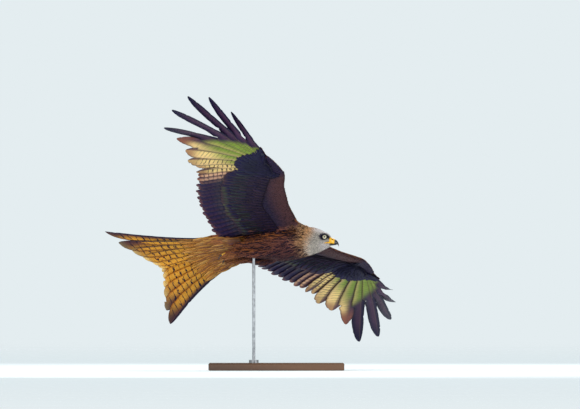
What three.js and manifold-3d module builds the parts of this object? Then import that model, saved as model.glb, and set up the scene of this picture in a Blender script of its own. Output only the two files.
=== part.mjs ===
// A red kite in a banked glide, life size, held by one rod on a flat base.
// Millimetres, +Z up, origin at the middle of the base's underside.
// The bird has a frame of its own: x forward, y to its left, z to its back, origin between the shoulders.
import * as THREE from "three";
import { mergeVertices } from "three/addons/utils/BufferGeometryUtils.js";
import Module from "manifold-3d";

const wasm = await Module();
wasm.setup();

// Driving dimensions

const FLIGHT = { heading: -21.7, bank: 22.2, pitch: 8, height: 367 }; // degrees; height of the shoulders
const GAP = 0.3; // between nodes that touch

const BASE = { length: 360, width: 280, thickness: 20, bevel: 3 };
const ROD = { radius: 4, depthInBody: 30, enters: [-128, -5], collarRadius: 13, collarHeight: 8 };
const ROD_ON_BASE = [-60, 0];

const WRIST = [42, 312]; // x, y of the wrist joint
const ELBOW = [-46, 165];
const FINGER = [46, 402]; // end of the hand's bones
const ARM_FEATHERS = 18; // 13 secondaries and 5 tertials
const PRIMARY_LENGTHS = [208, 214, 243, 272, 335, 416, 439, 412, 333, 223]; // innermost first
const PRIMARY_SWEEPS = [59.7, 53.8, 45.8, 35.7, 26.8, 21.1, 14.9, 10.5, 6.9, 3.3]; // degrees backwards
const PRIMARY_TIP_HEIGHTS = [19, 24, 18, 20, 16, 6, 33, 71, 91, 85]; // above the shoulders
const FINGERS = {
  // the five outermost primaries, innermost first
  slots: [0.6, 0.5, 0.5, 0.54, 0.55], // share of the length that is joined to the wing
  inner: [17, 15, 14, 12, 9], // widths of the free vane
  outer: [9, 9, 8, 7, 6],
  bow: [0, 3, 6, 9, 12], // how far the shaft bows forward
};
const VANE = { thickness: 0.9, step: 1.7, sunk: 14 }; // step: height between neighbours; sunk: root's depth
const TIER = 4.5; // height of the coverts over and under the flight feathers
const ALULA = { feathers: 3, length: 78, shorter: 16, widths: [4, 8, 7, 2] };
const WING_CORE = {
  // flesh of arm and hand, by distance from the shoulder and by share of its depth
  spans: [20, 60, 100, 140, 180, 220, 260, 290, 318, 350, 385, 415],
  depths: [[20, 150], [165, 135], [290, 84], [318, 66], [385, 36], [415, 20]],
  thicknesses: [[20, 32], [165, 25], [300, 19], [385, 11], [415, 5]],
  shares: [0, 0.05, 0.16, 0.34, 0.56, 0.8, 1],
  fullness: [0.12, 0.5, 0.85, 1, 0.78, 0.45, 0.2],
};

const TAIL = { root: [-132, 0, -15], yaw: 7, droop: 5.3, roll: 19 };
const TAIL_LENGTHS = [278, 286, 303, 326, 357, 392]; // middle pair first, measured from the root
const TAIL_SPREADS = [2, 6.5, 11.5, 17.3, 22.5, 28.6]; // degrees from the tail's axis to each tip
const TAIL_ARCH = 10; // how far the tail's middle stands above the line between its ends
const TAIL_BOW = [0, 2, 5, 10, 16, 24]; // how far each shaft sags inwards between its ends
const TAIL_BASE = [
  // the coverts' mass: distance behind the root, half width, half height, height on the arch
  [48, 44, 17, -2],
  [75, 58, 12, -2],
  [100, 64, 8, -3],
  [122, 58, 5, -3.5],
  [134, 42, 2.5, -4],
];

const NECK_AT = 20; // cuts across the body, bird x
const HEAD_AT = 45;
const TAIL_AT = -160;
const HEAD = { at: [74.8, 1, -32.8], pitch: 11.4, roll: 10 }; // between the eyes
const EYE = { side: 13.6, height: 4, radius: 7, gaze: 12, lidRadius: 6.2, lidWidth: 1.3 }; // gaze: degrees
const SOCKET = { at: [1, 21.7], radii: [9.5, 4.2, 7.5] }; // the hollow of the face round each eye
const NOSTRIL = { at: [18, 7.8, 0.8], radii: [2, 1.6, 1.2] };
const MOUTH_LINE = [[15, -10.9], [11, -12], [6, -13.2], [0.5, -14.4]]; // x, z in the head's frame
const BROW_LINE = [[0, 11.5], [3, 11.2], [6, 10], [8.5, 7.5]];

const THIGH = {
  line: [[-96, 24, -58], [-118, 25, -57], [-140, 23, -51], [-160, 20, -46]],
  radii: [13, 14, 10, 5.5],
};
const SHANK = { line: [[-158, 20, -46], [-176, 19, -44], [-192, 18, -42]], radii: [4.2, 3.8, 4.4] };
const TOES = { spreads: [-10, -2, 6], reaches: [22, 27, 21], radii: [3.8, 3.2, 2.7, 0.6] };
const ANKLE_AT = -159; // cut between leg and foot, bird x

const deg = THREE.MathUtils.degToRad;
const lerp = THREE.MathUtils.lerp;
const clamp = THREE.MathUtils.clamp;
const smooth = (t) => THREE.MathUtils.smoothstep(t, 0, 1);

// Straight lines through [[x, y], ...], carried on past the ends.
function along(points, x) {
  let k = 1;
  while (k < points.length - 1 && x > points[k][0]) k += 1;
  const [a, b] = [points[k - 1], points[k]];
  return a[1] + ((b[1] - a[1]) * (x - a[0])) / (b[0] - a[0]);
}

// A smooth curve through [[x, y], ...], level past the ends.
function through(points, x) {
  const last = points.length - 1;
  let k = 0;
  while (k < last - 1 && x > points[k + 1][0]) k += 1;
  const at = (i) => points[clamp(i, 0, last)];
  const slope = (i) => (at(i + 1)[1] - at(i - 1)[1]) / (at(i + 1)[0] - at(i - 1)[0]);
  const span = points[k + 1][0] - points[k][0];
  const t = clamp((x - points[k][0]) / span, 0, 1);
  const ends = [points[k][1], points[k + 1][1]];
  const slopes = [slope(k) * span, slope(k + 1) * span];
  const [t2, t3] = [t * t, t * t * t];
  const start = (2 * t3 - 3 * t2 + 1) * ends[0] + (t3 - 2 * t2 + t) * slopes[0];
  return start + (3 * t2 - 2 * t3) * ends[1] + (t3 - t2) * slopes[1];
}

// Solids

function geometryOf(points, faces) {
  const geometry = new THREE.BufferGeometry();
  geometry.setAttribute("position", new THREE.Float32BufferAttribute(points.flat(), 3));
  geometry.setIndex(faces.flat());
  return geometry;
}

function solidOf(geometry) {
  const bare = geometry.clone();
  bare.deleteAttribute("normal");
  bare.deleteAttribute("uv");
  const merged = mergeVertices(bare, 1e-4);
  const mesh = new wasm.Mesh({
    numProp: 3,
    vertProperties: merged.attributes.position.array,
    triVerts: new Uint32Array(merged.index.array),
  });
  return new wasm.Manifold(mesh);
}

// The solid of a list of points and faces, turned right side out.
function closed(points, faces) {
  const solid = solidOf(geometryOf(points, faces));
  if (solid.volume() > 0) return solid;
  return solidOf(geometryOf(points, faces.map(([a, b, c]) => [a, c, b])));
}

function geometryFrom(solid) {
  const mesh = solid.getMesh();
  const geometry = new THREE.BufferGeometry();
  geometry.setAttribute("position", new THREE.BufferAttribute(new Float32Array(mesh.vertProperties), 3));
  geometry.setIndex(new THREE.BufferAttribute(new Uint32Array(mesh.triVerts), 1));
  geometry.computeVertexNormals();
  return geometry;
}

function largest(solid) {
  const pieces = solid.decompose();
  return pieces.reduce((best, piece) => (piece.volume() > best.volume() ? piece : best));
}

const fused = (solids) => solids.reduce((sum, solid) => sum.add(solid));
const mirrored = (solid) => solid.mirror([0, 1, 0]);

// A closed plate between two grids of points, both split into triangles the same way.
function plate(top, bottom) {
  const rows = top.length;
  const columns = top[0].length;
  const points = [...top.flat(), ...bottom.flat()];
  const upper = (i, j) => i * columns + j;
  const lower = (i, j) => rows * columns + upper(i, j);
  const faces = [];
  const quad = (a, b, c, d) => faces.push([a, b, c], [a, c, d]);
  for (let i = 0; i < rows - 1; i += 1) {
    for (let j = 0; j < columns - 1; j += 1) {
      faces.push([upper(i, j), upper(i + 1, j), upper(i + 1, j + 1)]);
      faces.push([upper(i, j), upper(i + 1, j + 1), upper(i, j + 1)]);
      faces.push([lower(i, j), lower(i + 1, j + 1), lower(i + 1, j)]);
      faces.push([lower(i, j), lower(i, j + 1), lower(i + 1, j + 1)]);
    }
    const e = columns - 1;
    quad(upper(i, 0), lower(i, 0), lower(i + 1, 0), upper(i + 1, 0));
    quad(upper(i + 1, e), lower(i + 1, e), lower(i, e), upper(i, e));
  }
  for (let j = 0; j < columns - 1; j += 1) {
    const e = rows - 1;
    quad(upper(0, j + 1), lower(0, j + 1), lower(0, j), upper(0, j));
    quad(upper(e, j), lower(e, j), lower(e, j + 1), upper(e, j + 1));
  }
  return closed(points, faces);
}

// A closed body through rings with the same count of points, each end closed by a fan.
function loft(rings) {
  const count = rings[0].length;
  const points = rings.flat();
  const faces = [];
  const middle = (ring) => ring.reduce((sum, p) => sum.map((v, k) => v + p[k] / count), [0, 0, 0]);
  const first = points.push(middle(rings[0])) - 1;
  const last = points.push(middle(rings[rings.length - 1])) - 1;
  const end = (rings.length - 1) * count;
  for (let j = 0; j < count; j += 1) {
    const next = (j + 1) % count;
    faces.push([first, next, j], [last, end + j, end + next]);
    for (let i = 0; i < rings.length - 1; i += 1) {
      const [a, b] = [i * count + j, i * count + next];
      faces.push([a, b, b + count], [a, b + count, a + count]);
    }
  }
  return closed(points, faces);
}

// A ring of points in a plane across x: an ellipse, squarer where power is over 2.
function ovalRing(x, z, halfWidth, halfHeight, sides, power = 2) {
  const ring = [];
  for (let j = 0; j < sides; j += 1) {
    const angle = (2 * Math.PI * j) / sides;
    const bulge = (v) => Math.sign(v) * Math.abs(v) ** (2 / power);
    ring.push([x, halfWidth * bulge(Math.cos(angle)), z + halfHeight * bulge(Math.sin(angle))]);
  }
  return ring;
}

// A round limb along a smooth line, with a radius at each of its points.
function limb(line, radii, sides, steps) {
  const curve = new THREE.CatmullRomCurve3(line.map((p) => new THREE.Vector3(...p)), false, "centripetal");
  const frames = curve.computeFrenetFrames(steps, false);
  const rings = [];
  for (let i = 0; i <= steps; i += 1) {
    const at = curve.getPoint(i / steps);
    const radius = along(radii.map((r, k) => [k / (radii.length - 1), r]), i / steps);
    const ring = [];
    for (let j = 0; j < sides; j += 1) {
      const angle = (2 * Math.PI * j) / sides;
      const p = at.clone().addScaledVector(frames.normals[i], radius * Math.cos(angle));
      ring.push(p.addScaledVector(frames.binormals[i], radius * Math.sin(angle)).toArray());
    }
    rings.push(ring);
  }
  return loft(rings);
}

function ellipsoid(centre, radii, sides = 16) {
  const geometry = new THREE.SphereGeometry(1, sides, Math.round(sides / 2));
  return solidOf(geometry.scale(...radii).translate(...centre));
}

// Wing: one smooth arched surface over the plan of the left wing, on which all its rows are laid

// Each table goes by the distance from the shoulder.
const LEADING_EDGE = [
  [30, 12], [90, 18], [160, 22], [230, 35], [285, 56], [318, 65], [400, 61], [500, 49], [625, 35],
];
const EDGE_HEIGHT = [[0, -2], [45, 3], [180, 21], [312, 36], [500, 42], [800, 42]];
const CHORD = [[0, 235], [400, 215], [800, 130]];
const INCIDENCE = [
  [0, 0.03], [80, 0.035], [190, 0.015], [270, 0.03], [340, 0.07],
  [400, 0.105], [500, 0.145], [570, 0.17], [660, 0.21], [800, 0.24],
];
const leadingEdge = (y) => through(LEADING_EDGE, y);
const edgeHeight = (y) => through(EDGE_HEIGHT, y);

// Height of the wing's middle surface at a plan point.
function wingHeight(x, y) {
  const chord = along(CHORD, y);
  const back = leadingEdge(y) - x;
  const share = clamp(back / chord, 0, 1);
  return edgeHeight(y) - along(INCIDENCE, y) * clamp(back, -20, 260) + 0.2 * chord * share * (1 - share);
}

// The trailing edge of the arm, from the body to the wrist.
const ARM_TIPS = [[0, -214], [0.07, -219], [0.22, -217], [0.41, -212], [0.63, -195], [0.81, -172], [1, -143]];

// Roots and tips of the flight feathers in plan, from the innermost tertial to the outermost primary.
const FEATHERS = [];
for (let i = 0; i < ARM_FEATHERS; i += 1) {
  const share = i / (ARM_FEATHERS - 1);
  const y = lerp(50, WRIST[1] - 6, share);
  const root = [along([[50, -36], [ELBOW[1], ELBOW[0]], [WRIST[1] - 6, WRIST[0]]], y), y];
  const tip = [through(ARM_TIPS, share), lerp(44, 399, share)];
  FEATHERS.push({ root, tip });
}
PRIMARY_LENGTHS.forEach((length, k) => {
  const share = k / (PRIMARY_LENGTHS.length - 1);
  const root = [lerp(WRIST[0], FINGER[0], share), lerp(WRIST[1] + 6, FINGER[1], share)];
  const sweep = deg(PRIMARY_SWEEPS[k]);
  const tip = [root[0] - length * Math.sin(sweep), root[1] + length * Math.cos(sweep)];
  FEATHERS.push({ root, tip });
});

// A plan point on the line of any real feather index, at a share of its length.
function planPoint(index, share) {
  const value = (end, axis) => along(FEATHERS.map((feather, k) => [k, feather[end][axis]]), index);
  return [0, 1].map((axis) => lerp(value("root", axis), value("tip", axis), share));
}

// How far a feather's free end bends off the wing's surface at its tip.
function tipLift(index) {
  if (index < ARM_FEATHERS) return 0;
  const [x, y] = planPoint(index, 1);
  return along(PRIMARY_TIP_HEIGHTS.map((z, k) => [k + ARM_FEATHERS, z]), index) - wingHeight(x, y);
}

// The arm and hand themselves: thick at the leading edge, thin where the feathers leave them.
function wingCore(clearance) {
  const { spans, depths, thicknesses, shares, fullness } = WING_CORE;
  const top = [];
  const bottom = [];
  for (const y of spans) {
    const depth = along(depths, y);
    const thick = along(thicknesses, y);
    const points = shares.map((share) => [leadingEdge(y) + clearance - share * (depth + 2 * clearance), y]);
    const half = fullness.map((full) => (thick * full) / 2 + clearance);
    top.push(points.map(([x, v], k) => [x, v, wingHeight(x, v) + half[k]]));
    bottom.push(points.map(([x, v], k) => [x, v, wingHeight(x, v) - half[k]]));
  }
  return plate(top, bottom);
}

// The feather index, as a real number, of the line through a plan point.
function indexAt(x, y) {
  const side = (index) => {
    const [a, b] = [planPoint(index, 0), planPoint(index, 1)];
    return (b[0] - a[0]) * (y - a[1]) - (b[1] - a[1]) * (x - a[0]);
  };
  let [low, high] = [-2, FEATHERS.length + 1];
  for (let n = 0; n < 24; n += 1) {
    const middle = (low + high) / 2;
    if (side(middle) < 0) low = middle;
    else high = middle;
  }
  return (low + high) / 2;
}

// How far a plan point lies from a feather's shaft line.
function distanceTo(index, x, y) {
  const { root, tip } = FEATHERS[index];
  const across = (tip[0] - root[0]) * (y - root[1]) - (tip[1] - root[1]) * (x - root[0]);
  return Math.abs(across) / Math.hypot(tip[0] - root[0], tip[1] - root[1]);
}

// Widths of the inner and outer half of a feather's vane at a point of its shaft.
function vaneWidths(index, x, y, share) {
  const finger = index - (FEATHERS.length - FINGERS.slots.length);
  if (finger >= 0 && share > FINGERS.slots[finger]) return [FINGERS.inner[finger], FINGERS.outer[finger]];
  const inner = index > 0 ? 0.92 * distanceTo(index - 1, x, y) : 16;
  const outer = index < FEATHERS.length - 1 ? 0.42 * distanceTo(index + 1, x, y) : 5;
  return [Math.min(inner, 34), Math.min(outer, 20)];
}

// One feather laid on the wing. Stations are [share of the length, share of the full width], root first.
// Lanes run across the vane from its inner edge, -1, over the shaft, 0, to its outer edge, 1.
function wingFeather(index, stations, lanes, layer, thickness) {
  const { root, tip } = FEATHERS[index];
  const length = Math.hypot(tip[0] - root[0], tip[1] - root[1]);
  const along0 = [(tip[0] - root[0]) / length, (tip[1] - root[1]) / length];
  const ahead = [along0[1], -along0[0]];
  const finger = index - (FEATHERS.length - FINGERS.slots.length);
  const joined = finger >= 0 ? FINGERS.slots[finger] - 0.08 : 0.4;
  const top = [];
  const bottom = [];
  for (const [share, width] of stations) {
    const bow = finger >= 0 ? FINGERS.bow[finger] * 4 * share * (1 - share) : 0;
    const [x, y] = [0, 1].map((k) => root[k] + along0[k] * length * share + ahead[k] * bow);
    const [inner, outer] = vaneWidths(index, x, y, share);
    const lift = layer === 0 ? tipLift(index) * clamp((share - joined) / (1 - joined), 0, 1) ** 1.5 : 0;
    const row = lanes.map((lane) => {
      const off = (lane < 0 ? lane * inner : lane * outer) * width;
      const [px, py] = [x + ahead[0] * off, y + ahead[1] * off];
      const louvre = VANE.step * (indexAt(px, py) - index);
      return [px, py, wingHeight(px, py) + layer + louvre + lift];
    });
    const half = (thickness / 2) * lerp(1, 0.65, clamp(share, 0, 1));
    top.push(row.map(([px, py, z]) => [px, py, z + half]));
    bottom.push(row.map(([px, py, z]) => [px, py, z - half]));
  }
  return plate(top, bottom);
}

function flightFeather(index) {
  const { root, tip } = FEATHERS[index];
  const sunk = -VANE.sunk / Math.hypot(tip[0] - root[0], tip[1] - root[1]);
  const finger = index - (FEATHERS.length - FINGERS.slots.length);
  const slot = FINGERS.slots[finger];
  const broad = [[sunk, 0.3], [0.2, 0.95], [0.6, 1], [0.9, 0.85], [1, 0.25]];
  const free = [[slot, 1], [slot + 0.05, 1], [0.85, 0.95], [0.96, 0.6], [1, 0.16]];
  const narrow = [[sunk, 0.3], [0.14, 0.9], ...free];
  const lanes = index < ARM_FEATHERS ? [-1, 1] : [-1, 0, 1];
  return wingFeather(index, finger >= 0 ? narrow : broad, lanes, 0, VANE.thickness);
}

// A greater covert, over the flight feather of the same index or, with side -1, under it.
function covert(index, side) {
  const { root, tip } = FEATHERS[index];
  const length = Math.hypot(tip[0] - root[0], tip[1] - root[1]);
  const reach = index < ARM_FEATHERS ? 0.62 : lerp(118, 105, (index - ARM_FEATHERS) / 9) / length;
  const start = index < ARM_FEATHERS ? 0.12 : 4 / length;
  const stations = [[start, 0.6], [lerp(start, reach, 0.8), 1], [reach, 0.35]];
  return wingFeather(index, stations, [-1, 1], side * TIER, VANE.thickness);
}

// One of the alula's feathers on the wrist's leading edge, the longest first.
function alulaFeather(k) {
  const root = [WRIST[0] + 9 - 4 * k, WRIST[1] + 12];
  const length = ALULA.length - ALULA.shorter * k;
  const rows = [0, 0.4, 0.8, 1].map((share) => {
    const width = ALULA.widths[Math.round(share * 3)];
    const y = root[1] + length * share;
    return [-1, 1].map((lane) => {
      const x = root[0] - 3 * share + lane * width;
      return [x, y, wingHeight(x, y) + 5.2 + 1.5 * k];
    });
  });
  const shifted = (by) => rows.map((row) => row.map(([x, y, z]) => [x, y, z + by]));
  return plate(shifted(0.5), shifted(-0.5));
}

// The side of the wrist's cut: outward across the line between the last secondary and the first primary.
function wristPlane() {
  const [a, b] = [planPoint(ARM_FEATHERS - 0.5, 0), planPoint(ARM_FEATHERS - 0.5, 1)];
  const length = Math.hypot(b[0] - a[0], b[1] - a[1]);
  const out = [(b[1] - a[1]) / length, -(b[0] - a[0]) / length, 0];
  return { out, offset: a[0] * out[0] + a[1] * out[1] };
}

function wingParts() {
  const { out, offset } = wristPlane();
  const inner = (solid, shift) => solid.trimByPlane(out.map((v) => -v), -(offset + shift));
  const outer = (solid, shift) => solid.trimByPlane(out, offset + shift);
  const core = wingCore(0);
  const room = wingCore(GAP);
  const arm = [inner(core, -GAP / 2)];
  const hand = [outer(core, GAP / 2)];
  for (let k = 0; k < ALULA.feathers; k += 1) hand.push(alulaFeather(k));
  FEATHERS.forEach((feather, index) => {
    const node = index < ARM_FEATHERS ? arm : hand;
    node.push(flightFeather(index), covert(index, 1), covert(index, -1));
  });
  return {
    arm: fused(arm).subtract(outer(room, -GAP / 2)),
    hand: fused(hand).subtract(inner(room, GAP / 2)),
  };
}

// Tail

const tailTurn = new THREE.Matrix4()
  .makeRotationZ(deg(-TAIL.yaw))
  .multiply(new THREE.Matrix4().makeRotationY(deg(-TAIL.droop)))
  .multiply(new THREE.Matrix4().makeRotationX(deg(-TAIL.roll)))
  .setPosition(...TAIL.root);
const inTail = (p) => new THREE.Vector3(...p).applyMatrix4(tailTurn).toArray();

// A point on a tail feather's shaft: pair 0 is the middle one, side is 1 on the left and -1 on the right.
function tailPoint(pair, side, share) {
  const spread = deg(TAIL_SPREADS[pair]);
  const tip = [-TAIL_LENGTHS[pair] * Math.cos(spread), TAIL_LENGTHS[pair] * Math.sin(spread)];
  const sag = TAIL_BOW[pair] * 4 * share * (1 - share);
  return [tip[0] * share, side * (lerp(2.5 + 4.5 * pair, tip[1], share) - sag)];
}

// One tail feather as a thin vane; each pair lies a step under the next one inwards.
function tailFeather(pair, side) {
  const stations = [[0.04, 0.3], [0.3, 0.85], [0.55, 1], [0.8, 1], [0.94, 0.8], [1, 0.22]];
  const inward = (share) => {
    if (pair === 0) return 12;
    const [x, y] = tailPoint(pair, side, share);
    const level = Math.min(1, x / tailPoint(pair - 1, side, 1)[0]);
    return Math.abs(y - tailPoint(pair - 1, side, level)[1]);
  };
  const height = (share) => 4 * TAIL_ARCH * share * (1 - share) - VANE.step * (pair + (side < 0 ? 1 : 0));
  const top = [];
  const bottom = [];
  for (const [share, width] of stations) {
    const [x, y] = tailPoint(pair, side, share);
    const inner = Math.min(0.9 * inward(share) + 2, 40) * width;
    const outer = (pair < 5 ? 14 : 8) * Math.min(1, 0.3 + share) * width;
    const row = [y - side * inner, y, y + side * outer];
    const half = (VANE.thickness / 2) * lerp(1, 0.65, share);
    top.push(row.map((v) => inTail([x, v, height(share) + half])));
    bottom.push(row.map((v) => inTail([x, v, height(share) - half])));
  }
  return plate(top, bottom);
}

// The mass of the coverts round the feathers' roots.
function tailBase(clearance) {
  const rings = [TAIL_AT + 14, TAIL_AT - 2].map((x) => {
    const section = [1, 2, 3].map((k) => along(BODY.map((row) => [row[0], row[k]]), x));
    return ovalRing(x, section[0], section[1] + clearance, section[2] + clearance, BODY_SIDES);
  });
  TAIL_BASE.forEach(([back, halfWidth, halfHeight, under]) => {
    const share = back / TAIL_LENGTHS[2];
    const height = under + 4 * TAIL_ARCH * share * (1 - share);
    const ring = ovalRing(-back, height, halfWidth + clearance, halfHeight + clearance, BODY_SIDES);
    rings.push(ring.map(inTail));
  });
  return loft(rings);
}

// Trunk, neck and head as one body through ovals, parted by thin cuts

const BODY = [
  // x, middle z, half width, half height, pitch of the section
  [-176, -25, 27, 15, 0],
  [-140, -27, 33, 24, 0],
  [-105, -30, 41, 35, 0],
  [-60, -32, 48, 45, 0],
  [-20, -31, 49, 47, 0],
  [15, -31, 43, 43, 0],
  [38, -30, 36, 39, 2],
  [54, -32.5, 29.5, 34, 6],
  [66, -35, 24, 27, 10],
];
const FACE = [
  // the same in the head's frame
  [0, -2.6, 21, 23],
  [6, -3, 18, 19.5],
  [10.5, -4, 13.5, 15.5],
  [13.5, -4.8, 9.5, 11],
  [15.5, -5, 6, 7],
];
const BODY_SIDES = 24;

const headTurn = new THREE.Matrix4()
  .makeRotationY(deg(HEAD.pitch))
  .multiply(new THREE.Matrix4().makeRotationX(deg(HEAD.roll)))
  .setPosition(...HEAD.at);
const inHead = (p) => new THREE.Vector3(...p).applyMatrix4(headTurn).toArray();

function pitched([x, y, z], centre, pitch) {
  const rise = z - centre;
  return [x + rise * Math.sin(deg(pitch)), y, centre + rise * Math.cos(deg(pitch))];
}

// The whole body, grown outwards by a clearance.
function bodySolid(clearance = 0) {
  const trunk = BODY.map(([x, z, a, h, pitch], k) => {
    const shift = k === 0 ? -clearance : 0;
    const ring = ovalRing(x + shift, z, a + clearance, h + clearance, BODY_SIDES);
    return ring.map((p) => pitched(p, z, pitch));
  });
  const face = FACE.map(([x, z, a, h]) => {
    return ovalRing(x + clearance / 2, z, a + clearance, h + clearance, BODY_SIDES).map(inHead);
  });
  return loft([...trunk, ...face]);
}

function between(solid, low, high) {
  return solid.trimByPlane([1, 0, 0], low + GAP / 2).trimByPlane([-1, 0, 0], -high + GAP / 2);
}

// Bill, in the head's frame: x, culmen, cutting edge, half width
const UPPER_BILL = [
  [7, 6.5, -11, 9.4],
  [13, 6.4, -10.6, 8.6],
  [20, 4.8, -9.8, 7.2],
  [27, 1, -9.2, 5.4],
  [31.5, -3.6, -9.8, 4],
  [35, -8.5, -11.6, 2.6],
  [37, -12.6, -14, 1.4],
  [37.8, -16, -17, 0.5],
];
const LOWER_BILL = [
  [6, -11.7, -16.5, 8.4],
  [14, -11.3, -15.4, 7],
  [21, -10.5, -14.2, 5.2],
  [27, -10.3, -13, 3.4],
  [30, -11, -12.4, 1.6],
];
const CERE_FRONT = 24.5;

// A bill half, grown outwards by a clearance.
function bill(profile, clearance = 0) {
  const rings = profile.map(([x, high, low, a], k) => {
    const back = k === 0 ? clearance : 0;
    return ovalRing(x - back, (high + low) / 2, a + clearance, (high - low) / 2 + clearance, 16, 2.3);
  });
  return loft(rings).transform(headTurn.elements);
}

// Keeps what lies ahead of a plane across the head, or with ahead false what lies behind it.
function cutInHead(solid, x, ahead) {
  const normal = new THREE.Vector3(ahead ? 1 : -1, 0, 0).transformDirection(headTurn);
  const point = new THREE.Vector3(...inHead([x, 0, 0]));
  return solid.trimByPlane(normal.toArray(), normal.dot(point) + GAP / 2);
}

function eyeBall(side, radius) {
  const ball = ellipsoid([0, side * EYE.side, EYE.height], [radius, radius, radius], 14);
  return ball.transform(headTurn.elements);
}

// A ring of skin round the eye, square to its gaze.
function lids(side) {
  const gaze = [Math.sin(deg(EYE.gaze)), side * Math.cos(deg(EYE.gaze)), 0];
  const ring = new THREE.TorusGeometry(EYE.lidRadius, EYE.lidWidth, 5, 14);
  const turn = new THREE.Quaternion();
  turn.setFromUnitVectors(new THREE.Vector3(0, 0, 1), new THREE.Vector3(...gaze));
  ring.applyQuaternion(turn);
  return solidOf(ring.translate(gaze[0] * 4.2, side * EYE.side + gaze[1] * 4.2, EYE.height));
}

// A point on the side of the face, or a little way out of it.
function onFace(x, side, z, out) {
  const [middle, halfWidth, halfHeight] = [1, 2, 3].map((k) => along(FACE.map((row) => [row[0], row[k]]), x));
  const level = clamp((z - middle) / halfHeight, -1, 1);
  return [x, side * (halfWidth * Math.sqrt(1 - level * level) + out), z];
}

// A ridge or a groove along the mouth's line, from the bill back to its corner.
function gape(side, radius, out) {
  return limb(MOUTH_LINE.map(([x, z]) => onFace(x, side, z, out)), [radius, radius, radius * 0.6], 6, 5);
}

function brow(side) {
  return limb(BROW_LINE.map(([x, z]) => onFace(x, side, z, -0.9)), [1.6, 2.3, 2, 1.2], 6, 4);
}

// The head's own features, in its frame: hollows for the eyes, brows, lids, lips and the mouth's line.
function faceOf(skull) {
  const sides = [1, -1];
  const place = (solid) => solid.transform(headTurn.elements);
  const hollow = (side) => ellipsoid([SOCKET.at[0], side * SOCKET.at[1], EYE.height], SOCKET.radii, 10);
  const hollows = sides.map((side) => place(hollow(side)));
  const brows = sides.map((side) => place(brow(side)));
  const rims = sides.map((side) => place(lids(side)));
  const lips = sides.map((side) => place(gape(side, 1.5, -0.4)));
  const lines = sides.map((side) => place(gape(side, 0.5, 1.1)));
  const sockets = sides.map((side) => eyeBall(side, EYE.radius + GAP));
  const whole = fused([skull.subtract(fused(hollows)), ...brows, ...rims, ...lips]);
  return whole.subtract(fused([...lines, ...sockets]));
}

// Legs, folded back under the tail

function legParts() {
  const thigh = limb(THIGH.line, THIGH.radii, 12, 6);
  const shank = limb(SHANK.line, SHANK.radii, 10, 4);
  const toes = TOES.spreads.map((spread, k) => {
    const end = -192 - TOES.reaches[k];
    const y = 18 + spread;
    const line = [[-190, 18, -42], [-198, lerp(18, y, 0.6), -43], [end, y, -47], [end - 3, y, -54]];
    return limb(line, TOES.radii, 8, 7);
  });
  const leg = thigh.trimByPlane([1, 0, 0], ANKLE_AT + GAP / 2);
  const foot = fused([shank.trimByPlane([-1, 0, 0], -ANKLE_AT + GAP / 2), ...toes]);
  return { leg, foot };
}

// The bird's place over the base, and the stand that holds it

const birdTurn = new THREE.Matrix4()
  .makeRotationZ(deg(FLIGHT.heading))
  .multiply(new THREE.Matrix4().makeRotationX(deg(-FLIGHT.bank)))
  .multiply(new THREE.Matrix4().makeRotationY(deg(-FLIGHT.pitch)));
const entry = new THREE.Vector3(...ROD.enters, -55).applyMatrix4(birdTurn);
const birdPlace = new THREE.Vector3(ROD_ON_BASE[0] - entry.x, ROD_ON_BASE[1] - entry.y, FLIGHT.height);
const birdMatrix = birdTurn.clone().setPosition(birdPlace);
const rodTop = birdPlace.z + entry.z + ROD.depthInBody;

// A vertical rod in the stand's frame.
function rodSolid(radius, low, high, sides = 24) {
  const geometry = new THREE.CylinderGeometry(radius, radius, high - low, sides).rotateX(Math.PI / 2);
  return solidOf(geometry.translate(...ROD_ON_BASE, (low + high) / 2));
}

function rodInBird(clearance) {
  const rod = rodSolid(ROD.radius + clearance, BASE.thickness, rodTop + clearance);
  return rod.transform(birdMatrix.clone().invert().elements);
}

function baseSolid() {
  const half = [BASE.length / 2 - BASE.bevel, BASE.width / 2 - BASE.bevel];
  const outline = new THREE.Shape([
    new THREE.Vector2(-half[0], -half[1]),
    new THREE.Vector2(half[0], -half[1]),
    new THREE.Vector2(half[0], half[1]),
    new THREE.Vector2(-half[0], half[1]),
  ]);
  const slab = new THREE.ExtrudeGeometry(outline, {
    depth: BASE.thickness - 2 * BASE.bevel,
    bevelSize: BASE.bevel,
    bevelThickness: BASE.bevel,
    bevelSegments: 1,
  });
  return solidOf(slab.translate(0, 0, BASE.bevel));
}

// The model

const COLOURS = {
  plumage: 0x7a4522,
  head: 0xb9b2a8,
  dark: 0x2e2228,
  tail: 0xb8702c,
  skin: 0xe8b024,
  horn: 0x2a2420,
  eye: 0xd8d2a0,
  wood: 0x3c2a1e,
  steel: 0xb0b4b8,
};
const group = new THREE.Group();
const bird = new THREE.Group();
bird.matrixAutoUpdate = false;
bird.matrix.copy(birdMatrix);
group.add(bird);

function add(parent, name, solid, colour, roughness = 0.8, metalness = 0) {
  const material = new THREE.MeshStandardMaterial({ color: colour, roughness, metalness });
  const mesh = new THREE.Mesh(geometryFrom(solid), material);
  mesh.name = name;
  parent.add(mesh);
}

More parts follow.
